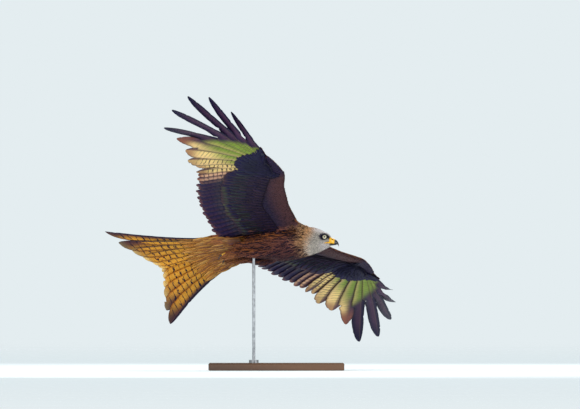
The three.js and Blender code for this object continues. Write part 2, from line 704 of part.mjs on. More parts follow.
function addHead(body) {
  const upperBill = bill(UPPER_BILL);
  const room = bill(UPPER_BILL, GAP).add(bill(LOWER_BILL, GAP));
  const [x, y, z] = NOSTRIL.at;
  const nostrils = [1, -1].map((side) => ellipsoid([x, side * y, z], NOSTRIL.radii, 8));
  const cere = cutInHead(upperBill, CERE_FRONT, false).subtract(fused(nostrils).transform(headTurn.elements));
  const skull = faceOf(body.trimByPlane([1, 0, 0], HEAD_AT + GAP / 2));
  add(bird, "head", largest(skull.subtract(room)), COLOURS.head);
  add(bird, "cere", cere, COLOURS.skin, 0.4);
  add(bird, "bill_upper", cutInHead(upperBill, CERE_FRONT, true), COLOURS.horn, 0.4);
  add(bird, "bill_lower", bill(LOWER_BILL), COLOURS.horn, 0.4);
  add(bird, "eye_left", eyeBall(1, EYE.radius), COLOURS.eye, 0.1);
  add(bird, "eye_right", eyeBall(-1, EYE.radius), COLOURS.eye, 0.1);
}

function addTail() {
  const feathers = TAIL_LENGTHS.flatMap((length, pair) => [tailFeather(pair, 1), tailFeather(pair, -1)]);
  const tail = fused([tailBase(0), ...feathers]).trimByPlane([-1, 0, 0], -TAIL_AT + GAP / 2);
  add(bird, "tail", largest(tail), COLOURS.tail);
}

// The parts of one side, made for the left and mirrored for the right.
function addSide(name, turn, body, tail, rod) {
  const wing = wingParts();
  const { leg, foot } = legParts();
  add(bird, `wing_${name}_arm`, largest(turn(wing.arm).subtract(body).subtract(tail)), COLOURS.dark);
  add(bird, `wing_${name}_hand`, largest(turn(wing.hand)), COLOURS.dark);
  add(bird, `leg_${name}`, largest(turn(leg).subtract(body).subtract(rod)), COLOURS.plumage);
  add(bird, `foot_${name}`, largest(turn(foot).subtract(body).subtract(tail)), COLOURS.skin, 0.5);
}

function addBird() {
  const body = bodySolid();
  const bodyRoom = bodySolid(GAP);
  const tailRoom = tailBase(GAP);
  const rod = rodInBird(GAP);
  add(bird, "torso", largest(between(body, TAIL_AT, NECK_AT).subtract(rod)), COLOURS.plumage);
  add(bird, "neck", between(body, NECK_AT, HEAD_AT), COLOURS.plumage);
  addHead(body);
  addTail();
  addSide("left", (solid) => solid, bodyRoom, tailRoom, rod);
  addSide("right", mirrored, bodyRoom, tailRoom, rod);
}

function addStand() {
  const low = BASE.thickness + GAP;
  const collar = rodSolid(ROD.collarRadius, low, low + ROD.collarHeight, 32);
  const room = rodSolid(ROD.radius + GAP, 0, rodTop);
  add(group, "stand_base", baseSolid(), COLOURS.wood, 0.5);
  add(group, "stand_collar", collar.subtract(room), COLOURS.steel, 0.3, 1);
  add(group, "stand_rod", rodSolid(ROD.radius, low, rodTop), COLOURS.steel, 0.3, 1);
}

addBird();
addStand();

export default group;
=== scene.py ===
"""The looks of a red kite in a banked glide: skin, plumage, head, feet and display stand."""

import logging
import math
from dataclasses import dataclass, field, replace
from enum import Enum
from functools import partial
from typing import Callable, Sequence

import bmesh
import bpy
import numpy as np
from bpy.types import Material, Mesh, Node, NodeSocket, NodeTree, Object
from mathutils import Euler, Matrix, Vector


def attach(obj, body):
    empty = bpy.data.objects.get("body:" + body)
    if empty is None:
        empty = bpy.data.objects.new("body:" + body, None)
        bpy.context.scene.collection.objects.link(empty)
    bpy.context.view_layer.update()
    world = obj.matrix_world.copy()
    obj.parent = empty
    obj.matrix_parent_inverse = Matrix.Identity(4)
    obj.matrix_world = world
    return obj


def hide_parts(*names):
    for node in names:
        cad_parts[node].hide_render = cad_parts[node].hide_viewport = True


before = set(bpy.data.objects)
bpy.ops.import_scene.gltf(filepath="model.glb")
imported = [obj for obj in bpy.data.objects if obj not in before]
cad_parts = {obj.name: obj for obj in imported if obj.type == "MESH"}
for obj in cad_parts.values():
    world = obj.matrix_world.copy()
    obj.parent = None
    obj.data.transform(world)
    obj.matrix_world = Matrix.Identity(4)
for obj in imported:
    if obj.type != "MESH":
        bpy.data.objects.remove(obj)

Array = np.ndarray
Colour = tuple[float, float, float]
Table = Sequence[Sequence[float]]
Faces = list[list[int]]
Body = tuple[Array, Faces]
Paint = tuple[Array, Array, Array]  # ground, marking and traits of some places
Painter = Callable[[Array, Array], Paint]

log = logging.getLogger("kite")
MM = 0.001
PATCH = 0.003  # side of one feather's patch in the bake map
SIDES = ((1.0, "left"), (-1.0, "right"))
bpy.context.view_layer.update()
GOLDEN = 0.61803  # spreads the vanes' seeds evenly
DARK_MARK = 0.9  # mark of claws, at the dark end of horn
LEAST_HEIGHT = 0.00015  # of a small feather's points over the skin


def srgb(red: float, green: float, blue: float) -> Colour:
    """Gives the linear colour of three 8-bit values."""
    values = np.array([red, green, blue]) / 255
    linear = np.where(values <= 0.04045, values / 12.92, ((values + 0.055) / 1.055) ** 2.4)
    return tuple(float(value) for value in linear)


SKY = srgb(228, 237, 240)


def along(table: Table, at: Array | float) -> Array:
    """Reads a table by straight lines, carried on past its ends.

    Args:
        table: pairs of position and value, by rising position.
        at: positions to read.

    Returns:
        The values there.
    """
    xs, ys = np.asarray(table, float).T
    at = np.asarray(at, float)
    k = np.clip(np.searchsorted(xs, at) - 1, 0, len(xs) - 2)
    return ys[k] + (ys[k + 1] - ys[k]) * (at - xs[k]) / (xs[k + 1] - xs[k])


def through(table: Table, at: Array | float) -> Array:
    """Reads a smooth curve through a table, level past its ends.

    Args:
        table: pairs of position and value, by rising position.
        at: positions to read.

    Returns:
        The values there.
    """
    xs, ys = np.asarray(table, float).T
    at = np.asarray(at, float)
    last = len(xs) - 1
    after, before = np.minimum(np.arange(last + 1) + 1, last), np.maximum(np.arange(last + 1) - 1, 0)
    slopes = (ys[after] - ys[before]) / (xs[after] - xs[before])
    k = np.clip(np.searchsorted(xs, at) - 1, 0, last - 1)
    span = xs[k + 1] - xs[k]
    t = np.clip((at - xs[k]) / span, 0, 1)
    start = (2 * t**3 - 3 * t**2 + 1) * ys[k] + (t**3 - 2 * t**2 + t) * slopes[k] * span
    return start + (3 * t**2 - 2 * t**3) * ys[k + 1] + (t**3 - t**2) * slopes[k + 1] * span


def step(low: float, high: float, value: Array | float) -> Array:
    """Rises smoothly from 0 at low to 1 at high."""
    t = np.clip((np.asarray(value, float) - low) / (high - low), 0, 1)
    return t * t * (3 - 2 * t)


def blend(first: Array | Colour, second: Array | Colour, share: Array) -> Array:
    """Mixes two colours or lists of colours by a share for each place."""
    share = np.asarray(share, float)[..., None]
    return np.asarray(first) * (1 - share) + np.asarray(second) * share


def layered(base: Array | Colour, *coats: tuple[Array | Colour, Array | float]) -> Array:
    """Lays colours over a base in turn.

    Args:
        base: the lowest colour, or one for each place.
        coats: pairs of a colour and its share for each place.

    Returns:
        The colours that are seen.
    """
    for colour, share in coats:
        base = blend(base, colour, share)
    return base


def unit(vectors: Array) -> Array:
    """Gives vectors the length of one."""
    return vectors / np.maximum(np.linalg.norm(vectors, axis=-1, keepdims=True), 1e-9)


def turns(*steps: tuple[float, str]) -> Array:
    """Gives the matrix of turns in degrees about axes, of which the last is made first."""
    matrix = Matrix.Identity(3)
    for angle, axis in steps:
        matrix = matrix @ Matrix.Rotation(math.radians(angle), 3, axis)
    return np.array(matrix)


# The bird's place


@dataclass(frozen=True)
class Flight:
    """How the bird hangs over its base: turns in degrees, place in millimetres."""

    heading: float = -21.7
    bank: float = 22.2
    pitch: float = 8.0
    place: tuple[float, float, float] = (62.469, -14.361, 367.0)

    def turn(self) -> Array:
        """Gives the matrix of the bird's three turns."""
        return turns((self.heading, "Z"), (-self.bank, "X"), (-self.pitch, "Y"))

    def to_row(self, points: Array) -> Array:
        """Takes points of the bird in millimetres to the part's frame in metres."""
        return (points @ self.turn().T + np.array(self.place)) * MM

    def to_bird(self, points: Array) -> Array:
        """Takes points of the part's frame in metres to the bird's in millimetres."""
        return (points / MM - np.array(self.place)) @ self.turn()


FLIGHT = Flight()


# Meshes


def new_object(name: str, mesh: Mesh) -> Object:
    """Puts a mesh in the scene under a name."""
    made = bpy.data.objects.new(name, mesh)
    bpy.context.scene.collection.objects.link(made)
    return made


def mesh_of(name: str, points: Array, faces: Sequence[Sequence[int]]) -> Mesh:
    """Makes a smooth-shaded mesh from points in metres and faces."""
    mesh = bpy.data.meshes.new(name)
    mesh.from_pydata(points.tolist(), [], [list(face) for face in faces])
    mesh.shade_smooth()
    return mesh


def set_colours(mesh: Mesh, name: str, values: Array) -> None:
    """Stores a colour for each point of a mesh."""
    layer = mesh.attributes.new(name, "FLOAT_COLOR", "POINT")
    layer.data.foreach_set("color", np.column_stack([values, np.ones(len(values))]).astype(np.float32).ravel())


def set_vectors(mesh: Mesh, name: str, values: Array) -> None:
    """Stores three numbers for each point of a mesh."""
    layer = mesh.attributes.new(name, "FLOAT_VECTOR", "POINT")
    layer.data.foreach_set("vector", values.astype(np.float32).ravel())


def read(items: Sequence, key: str, width: int = 3, kind: type = np.float32) -> Array:
    """Reads a value of all items of one of a mesh's collections.

    Args:
        items: the collection.
        key: the value's name.
        width: how many numbers it has.
        kind: of number.

    Returns:
        One row for each item, or one number where the width is one.
    """
    values = np.zeros(len(items) * width, kind)
    items.foreach_get(key, values)
    return values.reshape(-1, width) if width > 1 else values


def get_vectors(mesh: Mesh, name: str) -> Array:
    """Reads three numbers for each point of a mesh."""
    return read(mesh.attributes[name].data, "vector")


def get_points(mesh: Mesh) -> Array:
    """Reads the points of a mesh."""
    return read(mesh.vertices, "co").astype(float)


def set_bake_map(mesh: Mesh, places: Array) -> None:
    """Gives a mesh its bake map, from one place in the map for each point."""
    layer = mesh.uv_layers.new(name="OFBake")
    corners = read(mesh.loops, "vertex_index", 1, np.int32)
    layer.data.foreach_set("uv", places[corners].astype(np.float32).ravel())


def evaluated_mesh(made: Object) -> Mesh:
    """Turns an object and its modifiers into one plain mesh."""
    graph = bpy.context.evaluated_depsgraph_get()
    graph.update()
    final = made.evaluated_get(graph)
    return bpy.data.meshes.new_from_object(final, preserve_all_data_layers=True, depsgraph=graph)


def loft(rings: Sequence[Array]) -> Body:
    """Joins rings of equal count into one closed body.

    Args:
        rings: the rings, in order, each a list of points.

    Returns:
        Points and faces, facing out where the rings turn left about their line.
    """
    sides = len(rings[0])
    points = np.vstack([*rings, [np.mean(rings[0], axis=0)], [np.mean(rings[-1], axis=0)]])
    faces = []
    for i in range(len(rings) - 1):
        for j in range(sides):
            a, b = i * sides + j, i * sides + (j + 1) % sides
            faces.append([a, b, b + sides, a + sides])
    low, high = len(points) - 2, len(points) - 1
    start = (len(rings) - 1) * sides
    for j in range(sides):
        faces.append([low, (j + 1) % sides, j])
        faces.append([high, start + j, start + (j + 1) % sides])
    return points, faces


def outward(points: Array, faces: Faces | Array) -> Faces | Array:
    """Turns the faces of a closed body so that they all point out."""
    fans = np.array([(face[0], face[k], face[k + 1]) for face in faces for k in range(1, len(face) - 1)])
    a, b, c = (points[fans[:, k]] for k in range(3))
    return faces if np.sum(a * np.cross(b, c)) > 0 else [face[::-1] for face in faces]


def gathered(bodies: Sequence[Body]) -> Body:
    """Gathers closed bodies in one.

    Args:
        bodies: points and faces of each.

    Returns:
        All points, and all faces, which point out.
    """
    points, faces, start = [], [], 0
    for body_points, body_faces in bodies:
        points.append(body_points)
        faces += [[k + start for k in face] for face in outward(body_points, body_faces)]
        start += len(body_points)
    return np.vstack(points), faces


def circle(sides: int, first: Array, second: Array) -> Array:
    """Gives points round a circle from the ways to its first point and to its quarter."""
    angles = 2 * np.pi * np.arange(sides) / sides
    return np.outer(np.cos(angles), first) + np.outer(np.sin(angles), second)


def oval(x: float, z: float, half_width: float, half_height: float, sides: int, power: float = 2) -> Array:
    """Gives an upright oval ring across the bird's line."""
    angles = 2 * np.pi * np.arange(sides) / sides
    y = np.sign(np.cos(angles)) * np.abs(np.cos(angles)) ** (2 / power)
    up = np.sign(np.sin(angles)) * np.abs(np.sin(angles)) ** (2 / power)
    return np.column_stack([np.full(sides, x), half_width * y, z + half_height * up])


def limb(line: Table, radii: Table, sides: int, steps: int) -> Body:
    """Makes a round limb along a smooth line.

    Args:
        line: points of its centreline.
        radii: pairs of share and radius.
        sides: points round it.
        steps: lengths along it.

    Returns:
        Points and faces, facing out.
    """
    line = np.asarray(line, float)
    shares = np.concatenate([[0], np.cumsum(np.linalg.norm(np.diff(line, axis=0), axis=1))])
    shares /= shares[-1]
    at = np.linspace(0, 1, steps + 1)
    centre = np.column_stack([through(np.column_stack([shares, line[:, k]]), at) for k in range(3)])
    ahead = unit(np.gradient(centre, axis=0))
    side = unit(np.cross(ahead, [0, 0.1, 1]))
    up = np.cross(side, ahead)
    rings = [centre[i] + float(through(radii, at[i])) * circle(sides, side[i], up[i]) for i in range(len(at))]
    points, faces = loft(rings)
    return points, outward(points, faces)


def grid_shell(top: Array, bottom: Array) -> tuple[Array, Array, Array, Array]:
    """Closes two sheets that meet along their rim.

    Args:
        top: upper sheet, stations by lanes by three.
        bottom: lower sheet, of the same shape.

    Returns:
        Points, quads, the place in the grid of each point, and 1 for upper, 0 for lower, 0.5 for the rim.
    """
    rows, lanes = top.shape[:2]
    inside = np.zeros((rows, lanes), bool)
    inside[1:-1, 1:-1] = True
    upper = np.arange(rows * lanes).reshape(rows, lanes)
    lower = upper.copy()
    lower[inside] = rows * lanes + np.arange(inside.sum())
    first = np.where(inside[..., None], top, (top + bottom) / 2)
    points = np.vstack([first.reshape(-1, 3), bottom[inside]])
    quads = [
        np.stack([g[:-1, :-1], g[1:, :-1], g[1:, 1:], g[:-1, 1:]], -1).reshape(-1, 4)[:, ::turn]
        for g, turn in ((upper, 1), (lower, -1))
    ]
    places = np.concatenate([np.arange(rows * lanes), np.flatnonzero(inside.ravel())])
    face_up = np.concatenate([np.where(inside.ravel(), 1.0, 0.5), np.zeros(inside.sum())])
    return points, np.vstack(quads), places, face_up


@dataclass
class Sheaf:
    """Vanes gathered into one mesh, in the bird's frame and millimetres."""

    columns: int = 28
    points: list[Array] = field(default_factory=list)
    quads: list[Array] = field(default_factory=list)
    ground: list[Array] = field(default_factory=list)
    marking: list[Array] = field(default_factory=list)
    plume: list[Array] = field(default_factory=list)
    traits: list[Array] = field(default_factory=list)
    map_places: list[Array] = field(default_factory=list)
    count: int = 0

    def add(self, top: Array, bottom: Array, across: Array, share: Array, length: float, paint: Painter) -> None:
        """Adds one vane.

        Args:
            top: its upper sheet.
            bottom: its lower sheet.
            across: from -1 at the inner edge to 1 at the outer, for each place of the grid.
            share: from 0 at the root to 1 at the tip, likewise.
            length: of the vane, in millimetres.
            paint: gives ground, marking and traits from across and share, and from a flag of 1 for the upper
                sheet, 0 for the lower.
        """
        points, quads, places, face_up = grid_shell(top, bottom)
        quads = np.array(outward(points, quads))
        across, share = across.ravel()[places], share.ravel()[places]
        above, below = (paint(np.column_stack([across, share]), np.full(len(share), side)) for side in (1.0, 0.0))
        for store, high, low in zip((self.ground, self.marking, self.traits), above, below):
            store.append(low + (high - low) * face_up[:, None])
        seed = (self.count * GOLDEN) % 1
        self.plume.append(np.column_stack([across, share, np.full(len(share), seed)]))
        self.traits[-1][:, 2] = length
        cell = np.array([self.count % self.columns, self.count // self.columns])
        inner = np.column_stack([0.5 + 0.42 * across, 0.04 + 0.92 * np.clip(share, 0, 1)])
        inner[:, 0] = np.where(face_up < 0.4, inner[:, 0] / 2 + 0.5, inner[:, 0] / 2)
        self.map_places.append((cell + inner) / [self.columns, 4])
        self.quads.append(quads + sum(len(p) for p in self.points))
        self.points.append(points)
        self.count += 1

    def build(self, name: str, finish: Material, slot: str, nodes: Sequence[str] = ()) -> Object:
        """Makes the gathered vanes one piece of the scene.

        Args:
            name: of the piece.
            finish: its material.
            slot: not used.
            nodes: the solids that it stands for.

        Returns:
            The piece.
        """
        points = FLIGHT.to_row(np.vstack(self.points))
        mesh = mesh_of(name, points, np.vstack(self.quads))
        set_colours(mesh, "ground", np.vstack(self.ground))
        set_colours(mesh, "marking", np.vstack(self.marking))
        set_vectors(mesh, "plume", np.vstack(self.plume))
        set_vectors(mesh, "traits", np.vstack(self.traits))
        set_bake_map(mesh, np.vstack(self.map_places))
        return fit_piece(new_object(name, mesh), finish, nodes)


def fit_piece(made: Object, finish: Material, nodes: Sequence[str] = ()) -> Object:
    """Dresses a piece and ties it to the body of the frame.

    Args:
        made: the piece.
        finish: its material.
        nodes: the solids that it stands for.

    Returns:
        The same piece.
    """
    made.data.materials.clear()
    made.data.materials.append(finish)
    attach(made, "root")
    if nodes:
        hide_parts(*nodes)
    log.info("%s: %d faces", made.name, len(made.data.polygons))
    return made


# The wing's plan and surface, as in the solids


@dataclass
class WingPlan:
    """The left wing's surface and the lines of its flight feathers, in millimetres."""

    arm_feathers: int = 18
    wrist: tuple[float, float] = (42, 312)
    finger: tuple[float, float] = (46, 402)
    lengths: tuple[float, ...] = (208, 214, 243, 272, 335, 416, 439, 412, 333, 223)
    sweeps: tuple[float, ...] = (59.7, 53.8, 45.8, 35.7, 26.8, 21.1, 14.9, 10.5, 6.9, 3.3)
    tip_heights: tuple[float, ...] = (19, 24, 18, 20, 16, 6, 33, 71, 91, 85)
    slots: tuple[float, ...] = (0.6, 0.5, 0.5, 0.54, 0.55)
    free_inner: tuple[float, ...] = (24.5, 21.5, 19.5, 17.5, 12.5)
    free_outer: tuple[float, ...] = (9.8, 9.8, 9, 8.4, 6.8)
    bows: tuple[float, ...] = (0, 3, 6, 9, 12)
    twist: float = -16
    louvre: float = 1.7
    tier: float = 4.2
    roots: Array = field(init=False)
    tips: Array = field(init=False)

    def __post_init__(self) -> None:
        """Works out where each flight feather starts and ends."""
        share = np.linspace(0, 1, self.arm_feathers)
        y = 50 + (self.wrist[1] - 56) * share
        bone = [[50, -36], [165, -46], [self.wrist[1] - 6, self.wrist[0]]]
        trailing = [[0, -214], [0.07, -219], [0.22, -217], [0.41, -212], [0.63, -195], [0.81, -172], [1, -143]]
        arm_roots = np.column_stack([along(bone, y), y])
        arm_tips = np.column_stack([through(trailing, share), 44 + 355 * share])
        share = np.linspace(0, 1, len(self.lengths))
        start = np.array([self.wrist[0], self.wrist[1] + 6])
        hand_roots = start + np.outer(share, np.array(self.finger) - start)
        sweep = np.radians(self.sweeps)
        reach = np.array(self.lengths)[:, None] * np.column_stack([-np.sin(sweep), np.cos(sweep)])
        self.roots = np.vstack([arm_roots, hand_roots])
        self.tips = np.vstack([arm_tips, hand_roots + reach])

    @property
    def count(self) -> int:
        """Gives the number of flight feathers."""
        return len(self.roots)

    def leading_edge(self, y: Array | float) -> Array:
        """Gives x of the wing's leading edge."""
        table = [[30, 12], [90, 18], [160, 22], [230, 35], [285, 56], [318, 65], [400, 61], [500, 49], [625, 35]]
        return through(table, y)

    def height(self, x: Array, y: Array) -> Array:
        """Gives the height of the wing's middle surface over a plan point."""
        chord = along([[0, 235], [400, 215], [800, 130]], y)
        back = self.leading_edge(y) - x
        share = np.clip(back / chord, 0, 1)
        edge = through([[0, -2], [45, 3], [180, 21], [312, 36], [500, 42], [800, 42]], y)
        slope = [[0, 0.03], [80, 0.035], [190, 0.015], [270, 0.03], [340, 0.07], [400, 0.105], [500, 0.145]]
        slope += [[570, 0.17], [660, 0.21], [800, 0.24]]
        return edge - along(slope, y) * np.clip(back, -20, 260) + 0.2 * chord * share * (1 - share)

    def line(self, index: Array | float) -> tuple[Array, Array]:
        """Gives root and tip of the line at any real feather index."""
        numbers = np.arange(self.count)
        ends = (np.stack([along(np.column_stack([numbers, end[:, k]]), index) for k in (0, 1)], -1)
                for end in (self.roots, self.tips))
        return tuple(ends)

    def index_at(self, x: Array, y: Array) -> Array:
        """Gives the real feather index of the line through a plan point."""
        low, high = np.full(np.shape(x), -4.0), np.full(np.shape(x), self.count + 1.0)
        for _ in range(22):
            middle = (low + high) / 2
            a, b = self.line(middle)
            side = (b[..., 0] - a[..., 0]) * (y - a[..., 1]) - (b[..., 1] - a[..., 1]) * (x - a[..., 0])
            low, high = np.where(side < 0, middle, low), np.where(side < 0, high, middle)
        return (low + high) / 2

    def core_depth(self, y: Array | float) -> Array:
        """Gives how far back from the leading edge the flesh reaches."""
        return along([[20, 150], [165, 135], [290, 84], [318, 66], [385, 36], [415, 20]], y)

    def core_half(self, x: Array, y: Array) -> Array:
        """Gives half the thickness of flesh and short coat over a plan point."""
        share = (self.leading_edge(y) - x) / self.core_depth(y)
        fullness = [[0, 0.12], [0.05, 0.5], [0.16, 0.85], [0.34, 1], [0.56, 0.78], [0.8, 0.45], [1, 0.2], [1.3, 0]]
        thick = np.maximum(along([[20, 32], [165, 25], [300, 19], [385, 11], [415, 5]], y), 0)
        return np.clip(np.interp(share, *np.array(fullness).T), 0, 1) * thick / 2 * (y < 430)

    def lift_at_tip(self, index: int) -> float:
        """Gives how far a feather's tip stands off the wing's surface."""
        if index < self.arm_feathers:
            return 0.0
        x, y = self.tips[index]
        return self.tip_heights[index - self.arm_feathers] - float(self.height(x, y))

    def distance_to(self, index: float, points: Array) -> Array:
        """Gives how far plan points lie from a feather's line."""
        a, b = self.line(index)
        across = (b[0] - a[0]) * (points[:, 1] - a[1]) - (b[1] - a[1]) * (points[:, 0] - a[0])
        return np.abs(across) / np.linalg.norm(b - a)

    def free_part(self, index: float) -> int:
        """Gives the place of a feather among the free fingers, or below zero for the others."""
        return math.floor(index) - (self.count - len(self.slots))

    def widths(self, index: int, points: Array, share: Array) -> tuple[Array, Array]:
        """Gives the widths of both halves of a flight feather's vane.

        Args:
            index: of the feather.
            points: of its shaft, in plan.
            share: of its length at each.

        Returns:
            Inner and outer width.
        """
        inner, outer = np.full(len(points), 18.0), np.full(len(points), 5.0)
        if index > 0:
            inner = np.minimum(0.9 * self.distance_to(index - 1, points), 34)
        if index < self.count - 1:
            outer = np.minimum(0.45 * self.distance_to(index + 1, points), 18)
        finger = self.free_part(index)
        if finger == -1:
            inner = inner * (1 - 0.34 * step(0.66, 0.84, share))
        if finger >= 0:
            slot = self.slots[finger]
            free = step(slot - 0.08, slot + 0.02, share)
            slim = 1 - 0.12 * np.clip((share - slot) / (1 - slot), 0, 1)
            inner = inner + (self.free_inner[finger] * slim - inner) * free
            outer = outer + (self.free_outer[finger] * slim - outer) * free
        return inner, outer


@dataclass(frozen=True)
class VaneShape:
    """How one kind of vane is made: distances in millimetres, shares of its length."""

    stations: int
    lanes: tuple[float, ...]
    rachis: float
    thickness: float
    camber: float
    root_width: float = 0.3
    full_at: float = 0.18
    tip_from: float = 0.8
    tip_width: float = 0.08
    tip_curve: tuple[float, float] = (2.2, 0.5)
    nicks: int = 0

    def shares(self) -> Array:
        """Gives the stations, closer together towards the tip."""
        return 1 - (1 - np.linspace(0, 1, self.stations)) ** 1.3

    def outline(self, share: Array, later: float = 0.0) -> Array:
        """Gives the share of the full width at each station, with the tip begun a little later."""
        root = self.root_width + (1 - self.root_width) * step(0, self.full_at, share)
        start = self.tip_from + later
        t = np.clip((share - start) / (1 - start), 0, 1)
        rise, fall = self.tip_curve
        return root * (self.tip_width + (1 - self.tip_width) * np.maximum(1 - t**rise, 0) ** fall)

    def edges(self, share: Array, seed: int) -> Array:
        """Gives both edges their splits and small unevenness: two columns of shares of the width."""
        draw = np.random.default_rng(seed)
        width = 1 + 0.02 * draw.standard_normal((len(share), 2))
        for _ in range(self.nicks):
            place, edge = draw.integers(len(share) // 3, len(share) - 2), draw.integers(0, 2)
            width[place, edge] *= draw.uniform(0.72, 0.9)
        return np.clip(width, 0.6, 1.04)

    def grid(self, share: Array, inner: Array, outer: Array) -> tuple[Array, Array, Array]:
        """Gives each place of a vane its distance from the shaft, across and share."""
        lanes = np.array(self.lanes)
        off = np.where(lanes < 0, np.outer(inner, lanes), np.outer(outer, lanes))
        return off, np.broadcast_to(lanes, off.shape), np.broadcast_to(share[:, None], off.shape)

    def sheets(
        self, x: Array, y: Array, middle: Array, across: Array, taper: Array | float, keel: float = 0.3
    ) -> tuple[Array, Array]:
        """Makes the upper and the lower sheet of a vane.

        Args:
            x: of each place.
            y: of each place.
            middle: height of the vane's middle there.
            across: from -1 at the inner edge to 1 at the outer.
            taper: share of the shaft's thickness.
            keel: share of the shaft's thickness that also shows below.

        Returns:
            Both sheets.
        """
        ridge = self.rachis * taper * (across == 0)
        half = self.thickness / 2 * (1 - 0.7 * np.abs(across)) + ridge / 2
        return np.stack([x, y, middle + half], -1), np.stack([x, y, middle - half - keel * ridge], -1)


LANES = (-1, -0.8, -0.58, -0.36, -0.16, 0, 0.3, 0.65, 1)
FLIGHT_VANE = VaneShape(46, LANES, 1.1, 0.55, 1.6, tip_from=0.8, tip_curve=(1.7, 0.8), nicks=5)
ARM_VANE = VaneShape(46, LANES, 1.1, 0.55, 1.6, tip_from=0.86, tip_curve=(2.0, 0.6), nicks=5)
FINGER_VANE = VaneShape(52, LANES, 1.3, 0.6, 1.6, tip_from=0.74, tip_curve=(2.0, 0.62), nicks=3)
COVERT_VANE = VaneShape(12, (-1, -0.55, 0, 0.55, 1), 0.5, 0.4, 1.0, tip_from=0.5, root_width=0.6, nicks=1)


